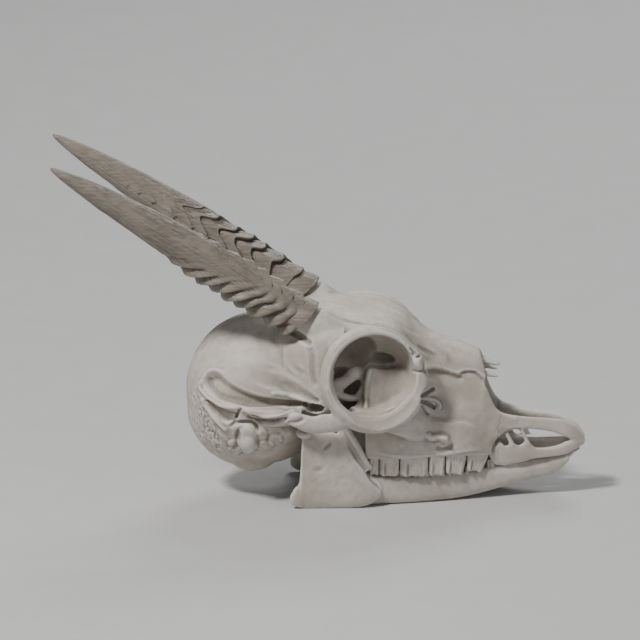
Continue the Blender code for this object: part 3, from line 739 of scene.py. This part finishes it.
def carve_orbit(clay):
    """The crest round the eye socket, the shelf below it and what shows inside."""
    offset = clay.points - np.array(ORBIT_CENTRE) * np.array((1, 0, 1))
    radius = np.hypot(offset[:, 0], offset[:, 2])
    angle = np.arctan2(offset[:, 2], offset[:, 0])
    plane = -(ORBIT_CENTRE.y + offset[:, 0] * ORBIT_TURN + offset[:, 2] * ORBIT_TILT)
    near = bell(clay.out, plane, 3)
    crest = bell(radius, 12.6, 0.55) * near
    lower = ramp(-np.sin(angle), -0.2, 0.4)
    clay.push(0.35 * crest * (1 - 0.5 * lower))
    outer = bell(radius, 14.6, 0.9) * near * ramp(np.cos(angle + 2.4), 0.0, 0.6)
    clay.push(-0.3 * outer)
    clay.refresh()
    clay.stroke([(14.5, 34.6), (13.4, 30.6), (13, 23)], 0.8, 0.7, ends=0.06, inner=9, outer=18, facing=-0.2)
    clay.stroke([(25, 40.4), (27, 38.8), (29.2, 35.6), (29.4, 33)], 0.9, -0.8, inner=10)
    clay.dent(27.6, 36.2, 2.7, 1.4, -72, 1.2, power=1.2, inner=12)
    clay.stroke([(25.9, 38.4), (27, 37.4), (28.2, 38)], 0.5, -0.9, ends=0, inner=12)
    clay.stroke([(26.2, 33.9), (27.4, 33.5), (28.6, 33.8)], 0.5, -0.5, ends=0, inner=12)


def carve_forehead(clay):
    clay.stroke([(1, 51.7), (5.8, 48.9), (10.6, 47.7), (17.9, 46.6), (23.6, 44.1), (27.3, 41.2),
                 (34.6, 37.3)], 1.5, -0.55, inner=5, facing=-0.2)
    clay.step([(34.6, 37.6), (27.3, 41.6), (23.6, 44.5), (17.9, 47), (10.6, 48.2), (5.8, 49.6)],
              1.6, -0.28, inner=5, facing=-0.2)
    clay.step([(32.6, 44.9), (29.5, 46.7), (26.1, 48.4), (21.9, 50.4), (19.4, 52.2)], 1.1, -0.3, inner=2,
              facing=-0.3)
    clay.stroke([(13.4, 50), (17.1, 48.4), (22.7, 46.4), (28.4, 43.4)], 0.7, -0.2, inner=5, facing=-0.2)
    clay.stroke([(17, 49.4), (22, 47.4), (27, 44.6)], 0.5, -0.16, inner=5, facing=-0.2)


def carve_face(clay):
    clay.step([(46.8, 31.1), (45.3, 32.5), (43.6, 33.6), (40.5, 33.6), (38.6, 32.4)], 0.9, -0.5, inner=3)
    clay.step([(40.8, 31.8), (36.3, 33.4), (32.3, 34.4), (28.6, 33.8)], 1.5, -0.7, inner=5, edge=0.5)
    clay.dent(38, 26, 9, 5.4, -12, -0.5, inner=5)
    clay.stroke([(28.6, 26.2), (30.1, 27.2), (32.4, 28.6)], 0.8, -1.5, ends=0.05, inner=9)
    clay.stroke([(28.6, 25.2), (30.4, 24.6), (32.8, 23.2)], 0.9, -1.4, ends=0.05, inner=9)
    clay.stroke([(28.4, 26), (30.6, 25.9), (32.6, 25.4), (33.8, 24.2), (33.8, 22.8)],
                0.6, 0.8, ends=0.1, inner=9)
    clay.stroke([(28.9, 24.4), (29.8, 22.4), (31, 21.2)], 0.7, -0.7, inner=9)
    clay.stroke([(30.2, 16.4), (31.2, 15), (34, 15), (36.4, 14.4)], 1.3, 0.9, inner=9)
    clay.dent(35.2, 14.4, 2.2, 1.7, -20, 0.9, inner=9)
    clay.stroke([(32, 12.4), (34.4, 11.4), (36.6, 12), (38, 13.8)], 1.2, -0.7, ends=0.3, inner=8)
    clay.stroke([(22, 12), (24, 13.4), (27.6, 12.6), (30, 13)], 1.4, 0.25, inner=8)
    clay.stroke([(13.7, 11.6), (19.4, 10), (27, 9.6), (35.5, 10.2), (42.5, 11.4), (47, 11.4)], 0.7, 0.18,
                inner=6)


def carve_nose(clay):
    """The rounded edge of the premaxilla bars and the scallops of the plate below."""
    clay.stroke([(48.6, 9.4), (49.2, 12.4), (51, 15), (53.8, 16.9), (57.5, 17.2)], 0.7, -0.35, inner=4)
    clay.stroke([(51.6, 24.6), (55, 22.4), (60, 21.2), (66, 21.4)], 0.8, -0.2, inner=2)


def skull_master():
    """Braincase, face, nasals and premaxillae as one carved surface."""
    forms = middle_forms()
    skull = boolean(forms[0], forms[1:] + both_sides(side_forms()), "UNION")
    boolean(skull, skull_hollows() + [nose_front()], "DIFFERENCE")
    boolean(skull, both_sides(snout_forms() + orbit_inside() + nasal_tips()) + nose_inner(), "UNION")
    clay = Clay(keep_largest(remeshed(skull)))
    for rounds in (26, 12):
        clay.fill_creases(int(rounds * ROUNDS))
    clay.smooth(int(4 * ROUNDS) + 1)
    for carve in (carve_braincase, carve_orbit, carve_forehead, carve_face, carve_nose, carve_nape):
        carve(clay)
        clay.refresh()
    clay.grain()
    clay.smooth(1)
    clay.points[:, 1] = np.clip(clay.points[:, 1], -HALF_WIDTH, HALF_WIDTH)
    return clay.write()


def nasal_region(gap):
    """The space that the nasal bones fill, grown by gap, with their finely toothed seam as its edge."""
    rows = [
        (20.6, 0.4, 46.8), (22, 2.6, 46), (25, 4.4, 43.2), (28, 6, 40.4), (31, 7.4, 38.4), (34, 9.5, 36.9),
        (37, 11.5, 35.6), (39, 12, 35), (40.6, 12, 36.4), (43.4, 12, 36.4), (45.2, 12, 35.2),
        (46.8, 12, 33.4), (49, 12, 32.6), (54, 12, 32.6),
    ]
    rings = []
    for i, (x, half, low) in enumerate(smooth_rows(rows, 12)):
        wave = 0.16 * math.sin(i * 2.1) + 0.08 * math.sin(i * 0.9 + 1.0)
        half += gap + wave
        low += -gap + wave * 0.8
        rings.append([(x, -half, low), (x, half, low), (x, half, 62.0), (x, -half, 62.0)])
    return ring_mesh("nasal_region", rings)


def nose_region(gap):
    """The space ahead of the toothed seam between the maxillae and the premaxillae."""
    rows = []
    for i in range(61):
        z = 5.0 + i * 0.45
        wave = 0.3 * math.sin(i * 1.25) + 0.16 * math.sin(i * 2.9 + 0.7)
        rows.append((50.4 + wave - gap + max(0.0, z - 20.0) * 0.16, z))
    rings = []
    for x, z in rows:
        rings.append([(x, -14, z), (90, -14, z), (90, 14, z), (x, 14, z)])
    return ring_mesh("nose_region", rings)


def parted(skull):
    """Cuts the nasals and the two premaxillae from the skull along hairline seams."""
    nasals = boolean(copied(skull, "nasal_bones"), [nasal_region(0.0)], "INTERSECT")
    front = copied(skull, "front")
    boolean(front, [nasal_region(SUTURE)], "DIFFERENCE")
    boolean(front, [nose_region(0.0)], "INTERSECT")
    boolean(front, [block("middle", (40, -SUTURE / 2, 0), (90, 20, 60))], "DIFFERENCE")
    boolean(skull, [nasal_region(SUTURE), nose_region(SUTURE)], "DIFFERENCE")
    return keep_largest(skull), keep_largest(nasals), keep_largest(front)


def orbit_inside():
    """The lumpy bar across the rear of the eye socket and the plate in its lower front."""
    return [
        tube("optic_bar", [
            (2.6, -16, 34, 1.4, 1.9), (5.2, -14.6, 34.6, 1.7, 2.1), (7.6, -13.2, 35.8, 1.5, 1.7),
            (10, -12, 37.4, 1.7, 2), (12.8, -10.4, 36.4, 1.2, 1.5),
        ]),
        tube("optic_strap", [
            (12.6, -10.6, 36, 1, 1.1), (12.4, -11.6, 33.4, 1, 1), (10.2, -13, 30.6, 1.1, 1),
            (7, -14.6, 31.2, 1.2, 1.1), (4, -16.2, 33, 1.2, 1.3),
        ]),
        loft("socket_plate", [
            (13, -13.2, 23.6, 34.4, 1.4, 1), (14, -13.4, 23.6, 38.8, 2.2, 1.4),
            (15.2, -13.2, 23.6, 39.4, 2.6, 1.5), (18, -12.4, 23.8, 38.6, 2.8, 1.7),
            (21.5, -12, 24.4, 38.8, 3.2, 2), (25.5, -12, 26.4, 39.6, 4, 2.6),
        ], power=3.4),
    ]


def nose_inner():
    """The thin nasal septum and the scrolls of bone that show in the nose opening."""
    scrolls = [
        tube("scroll", [
            (36, -3, 27, 0.6, 4.4), (42, -3.2, 25, 0.6, 4.2), (46.5, -3.2, 23.6, 0.5, 2.8),
        ], tip=True),
    ]
    septum = loft("septum", [
        (30, 0, 16, 40, 0.6, 0.6), (42, 0, 14, 38, 0.5, 0.5), (45, 0, 14, 30, 0.4, 0.4),
    ], sides=24, steps=4)
    return both_sides(scrolls) + [septum]


# The horns

def rounded(a, angles, values, spread=1.0):
    """Values between the given angles, with the corners rounded off."""
    total = 0.0
    for shift, weight in ((-14, 0.1), (-8, 0.2), (0, 0.4), (8, 0.2), (14, 0.1)):
        place = np.abs(a + shift * spread)
        total = total + weight * np.interp(180 - np.abs(180 - place), angles, values)
    return total


def horn_bend(a, inner, t, length):
    """How far a ring's rim leans towards the tip, in millimetres.

    a is the angle from the horn's front and inner is 1 on the side that faces the other horn. The flaps there
    are set wider apart than the folds of the outer side.
    """
    base = rounded(a, (0, 35, 60, 90, 120, 150, 180), (-3.2, -3, -2.5, -1.7, -0.9, 0, 0.6))
    outside = rounded(a, (0, 14, 28, 40, 56, 75, 139, 160, 180),
                      (2.4, 0.8, -2.6, -4.6, -4.8, -3.4, 3, 4.6, 4.8))
    inside = rounded(a, (0, 22, 34, 50, 64, 92, 139, 180), (0.5, -1.6, -1.2, 2.6, 1.4, -2, 3, 4.8), 0.4)
    share = ramp(t, 0.0, 0.14)
    reach = (0.8 + 0.45 * ramp(t, 0.1, 0.4)) * (1 - ramp(t, 0.6, 0.95))
    wider = np.interp(t, (0, 0.45, 0.72, 1), (0, 0.17, 0.14, 0)) * length * (1 - ramp(a, 95, 150))
    upper = outside * (1 - inner) + inside * inner
    return base * (1 - share) + upper * share * reach + wider * inner


def horn_stations():
    """Each ring's place from base (0) to tip (1), its phase within its fold and the fold's strength."""
    random = np.random.default_rng(11)
    rims = [0.0]
    while rims[-1] < 0.8:
        rims.append(rims[-1] + (0.046 + 0.02 * rims[-1]) * (1 + 0.12 * random.uniform(-1, 1)))
    strengths = random.uniform(0.8, 1.1, 60)
    stations = []
    for low, high, strength in zip(rims, rims[1:], strengths):
        for phase in HORN_PHASES:
            stations.append((low + (high - low) * phase, phase, strength))
    return stations + [(t, 0.0, strength) for t in np.linspace(rims[-1], 0.999, 60)]


def horn():
    """The right horn: an oval cone with leaf-like flaps in front and rounded folds behind."""
    axis = HORN_TIP - HORN_BASE
    length = np.linalg.norm(axis)
    ahead = axis / length
    side = np.cross(ahead, (0, 0, 1))
    side /= np.linalg.norm(side)
    front = np.cross(side, ahead)
    angle = np.linspace(0, math.tau, HORN_SIDES, endpoint=False)
    flat = np.zeros(HORN_SIDES)
    a = np.abs((np.degrees(angle) - 90 + 180) % 360 - 180)
    lateral = ramp(-np.cos(angle), -0.15, 0.25)
    inner = ramp(np.cos(angle) * (1 - ramp(a, 120, 178)), -0.62, 0.62)
    rear = ramp(a, 95, 135)
    fore = 1 - ramp(a, 28, 48)
    rings = []
    for t, phase, strength in horn_stations():
        wobble = value_noise(np.stack([angle * 1.6, flat + t * 22, flat], axis=1), (0.7, 1.4, 1), 3)
        bend = horn_bend(a, inner, t, length) + (0.45 + 0.5 * inner) * wobble * band(t, 0.02, 0.1, 0.7, 0.9)
        s = t + bend / length
        taper = np.minimum(1.0, np.maximum(0, 1 - s) * length / HORN_TAPER_LENGTH)
        lobe = math.sqrt(ramp(phase, -0.02, 0.26)) * (1 - ramp(phase, 0.22, 0.95))
        soft_fold = 0.5 - 0.5 * math.cos(math.tau * min(phase + 0.06, 1.0) ** 0.8)
        sharp_flap = ramp(phase, -0.01, 0.12) * (1 - phase) ** 1.2
        flap_fade = (1 - 0.6 * ramp(t, 0.1, 0.5)) * (1 - ramp(t, 0.45, 0.68))
        beside = (1 - rear) * (1 - ramp(t, 0.17, 0.33)) * lateral * ramp(a, 52, 92)
        fold = lobe * 2.1 * rear * (1 - ramp(t, 0.3, 0.47)) + soft_fold * 0.9 * beside
        medial = (1 - lateral) * (1 - rear) * flap_fade
        curl = 1.0 + 0.9 * bell(a, 44, 15)
        flap = sharp_flap * (1.5 * fore * flap_fade * (1 - 0.3 * lateral) + curl * medial * (1 - 0.6 * fore))
        rise = (fold * (1 - fore) + flap) * strength
        rise = rise - 0.8 * np.maximum(np.cos(np.radians(a)), 0) * band(t, 0.2, 0.4, 0.6, 0.85)
        sweep = (0.6 - 0.5 * rear) * rise * (1 - ramp(phase, 0.0, 0.5))
        place = np.stack([angle * 5.8, flat + t * length + a * 0.02, flat], axis=1)
        grain = value_noise(place, (0.32, 7, 1), 21) + 0.6 * value_noise(place, (0.8, 4, 1), 22)
        grain = grain * 0.11 * (1 - ramp(t, 0.75, 0.95)) * (0.35 + 0.65 * ramp(t, 0.14, 0.3))
        flare = 1.5 * (1 - ramp(t, 0.0, 0.07)) * (1 - 0.7 * rear)
        radius = HORN_RADIUS * taper ** 0.56 - 0.7 * ramp(0.5 - t, 0.0, 0.3)
        radius = np.maximum(radius + np.maximum(rise, flare) + grain, 0.05)
        s = s - sweep / length
        centre = HORN_BASE + np.outer(s * length, ahead) + np.outer(4 * HORN_BOW * s * (1 - s), front)
        over = np.outer(np.sin(angle) * radius, front)
        rings.append(centre + over + np.outer(np.cos(angle) * radius * 0.92, side))
    outer = rings[0]
    middle = outer.mean(axis=0)
    for share in (0.86, 0.5):
        rings.insert(0, middle + (outer - middle) * share)
    return Clay(ring_mesh("horn", rings)).write()


# The lower jaw

def jaw_forms():
    return [
        loft("body", [
            (4, -17.8, 2, 16, 1.6, 1.6), (9, -16.8, 0.6, 12.6, 2.2, 2), (13, -15.2, 0.1, 9.2, 2.8, 2.4),
            (19, -13.4, 0, 7.8, 3, 2.4), (31, -10.8, 0, 7.6, 2.8, 2.2), (40, -8.6, 0.5, 7.9, 2.5, 2),
            (48, -6.6, 1.9, 8.7, 2.2, 1.8), (58, -3.9, 4.1, 10, 2.3, 1.9),
            (66.5, -2.7, 6.1, 11.2, 2.6, 2.2), (70.5, -2.4, 9.8, 12, 2.2, 2.2),
        ], power=2.8),
        loft("ramus", [
            (-8.3, -19.6, 1.8, 3.8, 0.7, 0.6), (-7, -19.5, 0.7, 6, 1, 0.8),
            (-5.6, -19.3, 0.3, 8.4, 1.1, 0.9), (-4.9, -19.2, 0.1, 20.4, 1.2, 1),
            (-4.2, -19, 0, 22.6, 1.2, 1), (1, -18.8, 0, 22.6, 1.4, 1.1), (6, -18.6, 0, 21, 1.5, 1.1),
            (9, -18.4, 0, 15.4, 1.6, 1.3), (12, -18.2, 0.3, 11, 1.5, 1.2), (15, -17.8, 1.3, 6.8, 1.2, 1.1),
            (17.4, -17.2, 3, 4.6, 0.7, 0.6),
        ]),
        tube("coronoid", [
            (12.4, -16.6, 10, 1.4, 2.6), (9.8, -17.2, 16, 1.2, 2.4), (7.2, -17.8, 21.6, 1, 2),
            (5.6, -18, 26, 0.8, 1.3),
        ], up=FORWARD, tip=True),
        ellipsoid("condyle", (-4.4, -18.6, 22), (2.2, 4, 1.6)),
    ]


def carve_jaw(clay):
    clay.dent(2.2, 12.4, 2.6, 1.2, 42, -0.35, facing=0)
    clay.dent(-0.4, 6, 2.4, 1.4, 10, -0.3, facing=0)
    clay.stroke([(6.4, 20.6), (7.8, 16.9), (10.6, 12.1), (13.7, 7.3), (17.1, 5.6)], 0.9, 0.35, facing=0)
    clay.stroke([(17.9, -0.6), (16.5, 2), (13.4, 4.5), (10, 7.9), (7.5, 12.1)], 0.8, 0.3, facing=0)
    clay.stroke([(48, 6), (56, 6.6), (66, 8.6)], 1.6, -0.25, facing=0)


def jaw():
    forms = jaw_forms()
    half = boolean(forms[0], forms[1:], "UNION")
    cutters = [block("middle", (-20, -0.12, -5), (90, 9, 40)), block("floor", (-20, -40, -9), (90, 9, 0))]
    clay = Clay(remeshed(boolean(half, cutters, "DIFFERENCE")))
    clay.fill_creases(int(14 * ROUNDS))
    clay.smooth(3)
    carve_jaw(clay)
    clay.refresh()
    clay.grain()
    clay.points[:, 2] = np.maximum(clay.points[:, 2], 0.0)
    clay.points[:, 1] = np.minimum(clay.points[:, 1], -0.1)
    return clay.write()


# The teeth. Upper rows: back and front in x, the worn end's height at the back and the front, lobes and lean.
# Lower rows: back, front and lobes.

UPPER_TEETH = (
    (13.9, 16.72, 8.9, 8.8, 1, 0.1), (16.82, 22.45, 8.6, 8.5, 2, 0.1), (22.55, 30.75, 8.4, 8.3, 2, 0.15),
    (30.85, 35.35, 8.3, 8.2, 1, 0.3), (35.45, 41.4, 8.6, 7.9, 1, 1.1), (41.5, 47.6, 8.9, 8, 1, 1.9),
)
LOWER_TEETH = (
    (14.6, 20.4, 2), (20.8, 25.8, 2), (26.2, 31, 2), (31.4, 35.4, 1), (35.8, 40.6, 1), (41, 45, 1),
)


def cheek_tooth(back, front, low_back, low_front, top, offset, half, lobes=1, lean=0.0):
    """A tooth with ribs down its cheek side, from top to its worn end. Lean cuts its front edge back."""
    rings = []
    sides = 72
    way = 1 if low_back < top else -1
    for level in (0, 0.2, 0.35, 0.5, 0.62, 0.75, 0.86, 0.94, 0.98, 1):
        ring = []
        narrow = (1.0 - 0.03 * (1 - level) ** 1.5) * (1.0 - 0.07 * max(0.0, (level - 0.9) / 0.1) ** 2)
        cut = lean * max(0.0, (level - 0.35) / 0.65)
        for k in range(sides):
            a, b = superellipse(math.tau * (k + 0.5) / sides, 4.6)
            low = low_back + (low_front - low_back) * (a + 1) / 2
            low += 0.18 * math.cos(math.pi * lobes * a) * way
            rib = bell(a, -0.66, 0.15) * 0.5 + bell(a, 0.74, 0.14) * 0.32
            if lobes == 2:
                rib += bell(a, 0.18, 0.12) * 0.5 - bell(a, -0.03, 0.08) * 0.75
            x = (back + front) / 2 + a * (front - back) / 2 * narrow - cut * (a + 1) / 2
            y = tooth_line(x) + offset + b * half * narrow - rib * max(0.0, -b) * (0.5 + 0.5 * level)
            ring.append((x, y, top + (low - top) * level))
        rings.append(ring)
    basin = np.array(rings[-1])
    middle = basin.mean(axis=0)
    rings.append([middle + (point - middle) * 0.6 + np.array((0, 0, 0.25 * way)) for point in basin])
    return ring_mesh("tooth", rings)


def upper_teeth():
    pieces = []
    for back, front, low_back, low_front, lobes, lean in UPPER_TEETH:
        half = 1.8 if front < 40 else 1.5
        pieces.append(cheek_tooth(back, front, low_back, low_front, 14.6, 0.0, half, lobes, lean))
    return Clay(joined("upper_teeth", pieces)).write()


def lower_teeth():
    pieces = [cheek_tooth(back, front, 9.4, 9.4, 5.0, 1.9, 1.3, lobes) for back, front, lobes in LOWER_TEETH]
    pieces.append(cheek_tooth(47.2, 49.4, 10.6, 11.6, 6.0, 1.1, 0.9))
    for i in range(4):
        y = -0.75 - i * 0.95
        rows = [(67.5, y * 0.9, 10, 0.42, 0.6), (70.5, y, 11.4, 0.46, 0.55),
                (73.4 - i * 0.5, y * 1.15, 12.5, 0.52, 0.28)]
        pieces.append(tube("incisor", rows, sides=20, steps=6))
    return Clay(joined("lower_teeth", pieces)).write()


# The materials

class Shader:
    """A material built up from procedural nodes, with places in millimetres."""

    def __init__(self, name):
        self.material = bpy.data.materials.new(name)
        self.material.use_nodes = True
        self.tree = self.material.node_tree
        self.place = self.mapped(self.node("TexCoord").outputs["Object"], (1000, 1000, 1000))

    def node(self, kind, inputs=()):
        """A new node, with a value or another node's output in each of the given inputs."""
        node = self.tree.nodes.new("ShaderNode" + kind)
        self.feed(node, dict(inputs))
        return node

    def feed(self, node, inputs):
        for name, value in inputs.items():
            socket = node.inputs[name]
            if isinstance(value, bpy.types.NodeSocket):
                self.tree.links.new(value, socket)
            else:
                socket.default_value = (*value, 1.0) if socket.type == "RGBA" else value

    def mapped(self, place, scale, turn=(0, 0, 0)):
        return self.node("Mapping", {"Vector": place, "Scale": scale, "Rotation": turn}).outputs["Vector"]

    def noise(self, size, detail, place=None):
        place = self.place if place is None else place
        inputs = {"Vector": place, "Scale": 1.0 / size, "Detail": detail, "Roughness": 0.55}
        return self.node("TexNoise", inputs).outputs[0]

    def clouds(self, size, detail, low, high, first=0.0, last=1.0, place=None):
        """Noise, with its values between low and high spread from first to last."""
        return self.scaled(self.noise(size, detail, place), low, high, first, last)

    def hollow(self, kind, low, high):
        """How hollow the clay is, finely or broadly, with low to high spread from 0 to 1."""
        node = self.node("Attribute")
        node.attribute_name = kind + "_hollow"
        return self.scaled(node.outputs["Fac"], low, high)

    def scaled(self, value, low, high, first=0.0, last=1.0):
        inputs = {"Value": value, "From Min": low, "From Max": high, "To Min": first, "To Max": last}
        node = self.node("MapRange", inputs)
        node.interpolation_type = "SMOOTHSTEP"
        return node.outputs["Result"]

    def combined(self, operation, first, second):
        node = self.node("Math", {0: first, 1: second})
        node.operation = operation
        return node.outputs[0]

    def blend(self, share, first, second):
        node = self.node("Mix")
        node.data_type = "RGBA"
        colours = [i for i, socket in enumerate(node.inputs) if socket.type == "RGBA"]
        self.feed(node, {"Factor": share, colours[0]: first, colours[1]: second})
        return [socket for socket in node.outputs if socket.type == "RGBA"][0]

    def tinted(self, colour, share, strength, tint):
        """The colour, mixed with a tint by the share of the strength."""
        return self.blend(self.combined("MULTIPLY", share, strength), colour, tint)

    def finish(self, colour, roughness, relief, depth):
        """Relief is a height from 0 to 1 and depth is its size in millimetres."""
        bump = self.node("Bump", {"Strength": 0.6, "Distance": depth * 0.001, "Height": relief})
        inputs = {"Normal": bump.outputs["Normal"], "Base Color": colour, "Roughness": roughness}
        self.feed(self.tree.nodes["Principled BSDF"], inputs)
        return self.material


def bone_material():
    """Dry pale bone, greyer in patches, with painted shade in its hollows and a painted highlight on its
    proud edges.
    """
    shader = Shader("bone")
    colour = shader.blend(shader.clouds(16.0, 5.0, 0.38, 0.64), (0.42, 0.38, 0.32), (0.53, 0.495, 0.435))
    colour = shader.tinted(colour, shader.clouds(2.2, 6.0, 0.42, 0.68), 0.4, (0.35, 0.30, 0.235))
    # Painted shade: the broad and fine hollows are darkened towards dark brown, unevenly in patches.
    painted_shade = shader.combined("MAXIMUM", shader.hollow("broad", 0.02, 0.32), shader.hollow("fine", 0.008, 0.07))
    painted_shade = shader.combined("MULTIPLY", painted_shade, shader.clouds(1.2, 3.0, 0.2, 0.6, 0.65, 1.0))
    colour = shader.tinted(colour, painted_shade, 0.6, (0.145, 0.122, 0.095))
    # Painted highlight: the proud edges are lightened towards pale cream.
    colour = shader.tinted(colour, shader.hollow("fine", -0.012, -0.07), 0.6, (0.66, 0.635, 0.59))
    cells = shader.node("TexVoronoi", {"Vector": shader.place, "Scale": 1.0 / 0.55}).outputs["Distance"]
    some = shader.clouds(5.0, 3.0, 0.5, 0.62, 1.0, 0.0)
    pores = shader.combined("MAXIMUM", shader.scaled(cells, 0.0, 0.22), some)
    colour = shader.blend(shader.scaled(pores, 0.0, 1.0, 0.5, 0.0), colour, (0.16, 0.13, 0.10))
    grain = shader.combined("MULTIPLY", shader.noise(0.5, 5.0), 0.35)
    relief = shader.combined("ADD", grain, shader.combined("MULTIPLY", pores, 0.6))
    rough = shader.clouds(3.0, 4.0, 0.3, 0.7, 0.5, 0.68)
    rough = shader.combined("ADD", rough, shader.combined("MULTIPLY", painted_shade, 0.15))
    return shader.finish(colour, rough, relief, 0.12)


def horn_material():
    """Grey-brown horn, streaked along its length, with painted shade in the folds and a painted highlight on
    their edges.
    """
    shader = Shader("keratin")
    along = shader.mapped(shader.place, (0.14, 1.0, 1.0), (0.0, math.radians(32.6), 0.0))
    streaks = shader.clouds(0.7, 5.0, 0.3, 0.72, place=along)
    colour = shader.blend(streaks, (0.15, 0.125, 0.10), (0.225, 0.195, 0.16))
    colour = shader.tinted(colour, shader.clouds(9.0, 4.0, 0.4, 0.66), 0.45, (0.27, 0.235, 0.19))
    # Painted shade: the folds and other hollows are darkened almost to black.
    painted_shade = shader.combined("MAXIMUM", shader.hollow("broad", 0.0, 0.35), shader.hollow("fine", 0.004, 0.06))
    colour = shader.tinted(colour, painted_shade, 0.8, (0.045, 0.036, 0.028))
    # Painted highlight: the proud edges of the folds are lightened.
    colour = shader.tinted(colour, shader.hollow("fine", -0.02, -0.12), 0.3, (0.34, 0.30, 0.25))
    relief = shader.combined("ADD", streaks, shader.combined("MULTIPLY", shader.noise(0.3, 3.0), 0.3))
    rough = shader.clouds(2.0, 4.0, 0.3, 0.7, 0.34, 0.56, along)
    rough = shader.combined("ADD", rough, shader.combined("MULTIPLY", painted_shade, 0.25))
    return shader.finish(colour, rough, relief, 0.14)


def tooth_material():
    """Cream enamel with patches of brown stain and painted shade in its grooves."""
    shader = Shader("enamel")
    upright = shader.mapped(shader.place, (1.0, 1.0, 0.25))
    streaks = shader.clouds(0.6, 4.0, 0.36, 0.66, place=upright)
    colour = shader.blend(streaks, (0.60, 0.57, 0.51), (0.53, 0.49, 0.42))
    stain_and_shade = shader.combined("MULTIPLY", shader.clouds(1.6, 4.0, 0.46, 0.7), 0.35)
    # Painted shade: the fine grooves are darkened brown along with the patchy stain.
    stain_and_shade = shader.combined("MAXIMUM", stain_and_shade, shader.hollow("fine", 0.01, 0.09))
    colour = shader.tinted(colour, stain_and_shade, 0.7, (0.16, 0.12, 0.08))
    rough = shader.clouds(1.2, 3.0, 0.3, 0.7, 0.24, 0.42)
    relief = shader.combined("ADD", streaks, shader.combined("MULTIPLY", shader.noise(0.4, 3.0), 0.4))
    return shader.finish(colour, rough, relief, 0.05)


def floor_material():
    shader = Shader("floor")
    colour = shader.blend(shader.clouds(12.0, 4.0, 0.3, 0.7), (0.50, 0.50, 0.495), (0.515, 0.515, 0.51))
    rough = shader.clouds(6.0, 3.0, 0.3, 0.7, 0.68, 0.8)
    return shader.finish(colour, rough, shader.noise(1.5, 4.0), 0.05)


# The stage

def make_light(name, place, target, size, power, colour):
    data = bpy.data.lights.new(name, "AREA")
    data.shape = "DISK"
    data.size = size
    data.energy = power
    data.color = colour
    lamp = add_object(name, data)
    lamp.location = place
    lamp.rotation_euler = (Vector(target) - Vector(place)).to_track_quat("-Z", "Y").to_euler()


def make_camera():
    """A camera at the photo's angle, so far away that its view is nearly parallel."""
    data = bpy.data.cameras.new("camera")
    data.type = "PERSP"
    data.lens = LENS
    data.sensor_width = SENSOR
    data.clip_start = 0.01
    data.clip_end = 20.0
    camera = add_object("camera", data)
    up = Vector((0, math.sin(VIEW_TILT), math.cos(VIEW_TILT)))
    back = Vector((0, -math.cos(VIEW_TILT), math.sin(VIEW_TILT)))
    centre = (FORWARD * IMAGE_CENTRE[0] + up * IMAGE_CENTRE[1]) * 0.001
    camera.location = centre + back * (IMAGE_WIDTH * 0.001 * LENS / SENSOR)
    camera.rotation_euler = (math.pi / 2 - VIEW_TILT, 0.0, 0.0)
    bpy.context.scene.camera = camera


def make_stage():
    """Pale floor and soft lights."""
    half = FLOOR_SIZE / 2
    mesh = bpy.data.meshes.new("floor")
    corners = [(-half, -half, 0), (half, -half, 0), (half, half, 0), (-half, half, 0)]
    mesh.from_pydata(corners, [], [(0, 1, 2, 3)])
    floor = add_object("floor", mesh)
    floor.data.materials.append(floor_material())
    world = bpy.data.worlds.new("studio")
    bpy.context.scene.world = world
    world.use_nodes = True
    background = world.node_tree.nodes["Background"]
    background.inputs["Color"].default_value = (0.86, 0.88, 0.92, 1.0)
    background.inputs["Strength"].default_value = 0.23
    make_light("key", (-0.42, -0.42, 0.82), (0, 0, 0.04), 0.18, 10.5, (1, 0.985, 0.96))
    make_light("fill", (0.7, -0.7, 0.35), (0, 0, 0.04), 0.5, 0.9, (0.95, 0.97, 1))
    make_light("rim", (0.2, 0.7, 0.6), (0, 0, 0.05), 0.4, 3, (1, 1, 1))


def finish_pair(right, name, material, slot, replaced=()):
    """Finishes a piece of the right side and its mirror image as name_right and name_left."""
    left = mirrored(right, name + "_left")
    for thing, side in ((right, "_right"), (left, "_left")):
        finish_piece(thing, name + side, material, slot, *[node + side for node in replaced])


def main():
    bone = bone_material()
    keratin = horn_material()
    enamel = tooth_material()
    skull, nasals, front = parted(skull_master())
    finish_piece(skull, "skull", bone, "bone", "braincase", "face")
    finish_piece(nasals, "nasal_bones", bone, "bone", "nasals")
    finish_pair(front, "snout_bone", bone, "bone", ["premaxilla"])
    finish_pair(horn(), "sheath", keratin, "horn", ["horn"])
    finish_pair(jaw(), "jaw", bone, "bone", ["mandible"])
    for teeth in (upper_teeth(), lower_teeth()):
        finish_pair(teeth, teeth.name, enamel, "bone")
    make_stage()
    make_camera()


main()
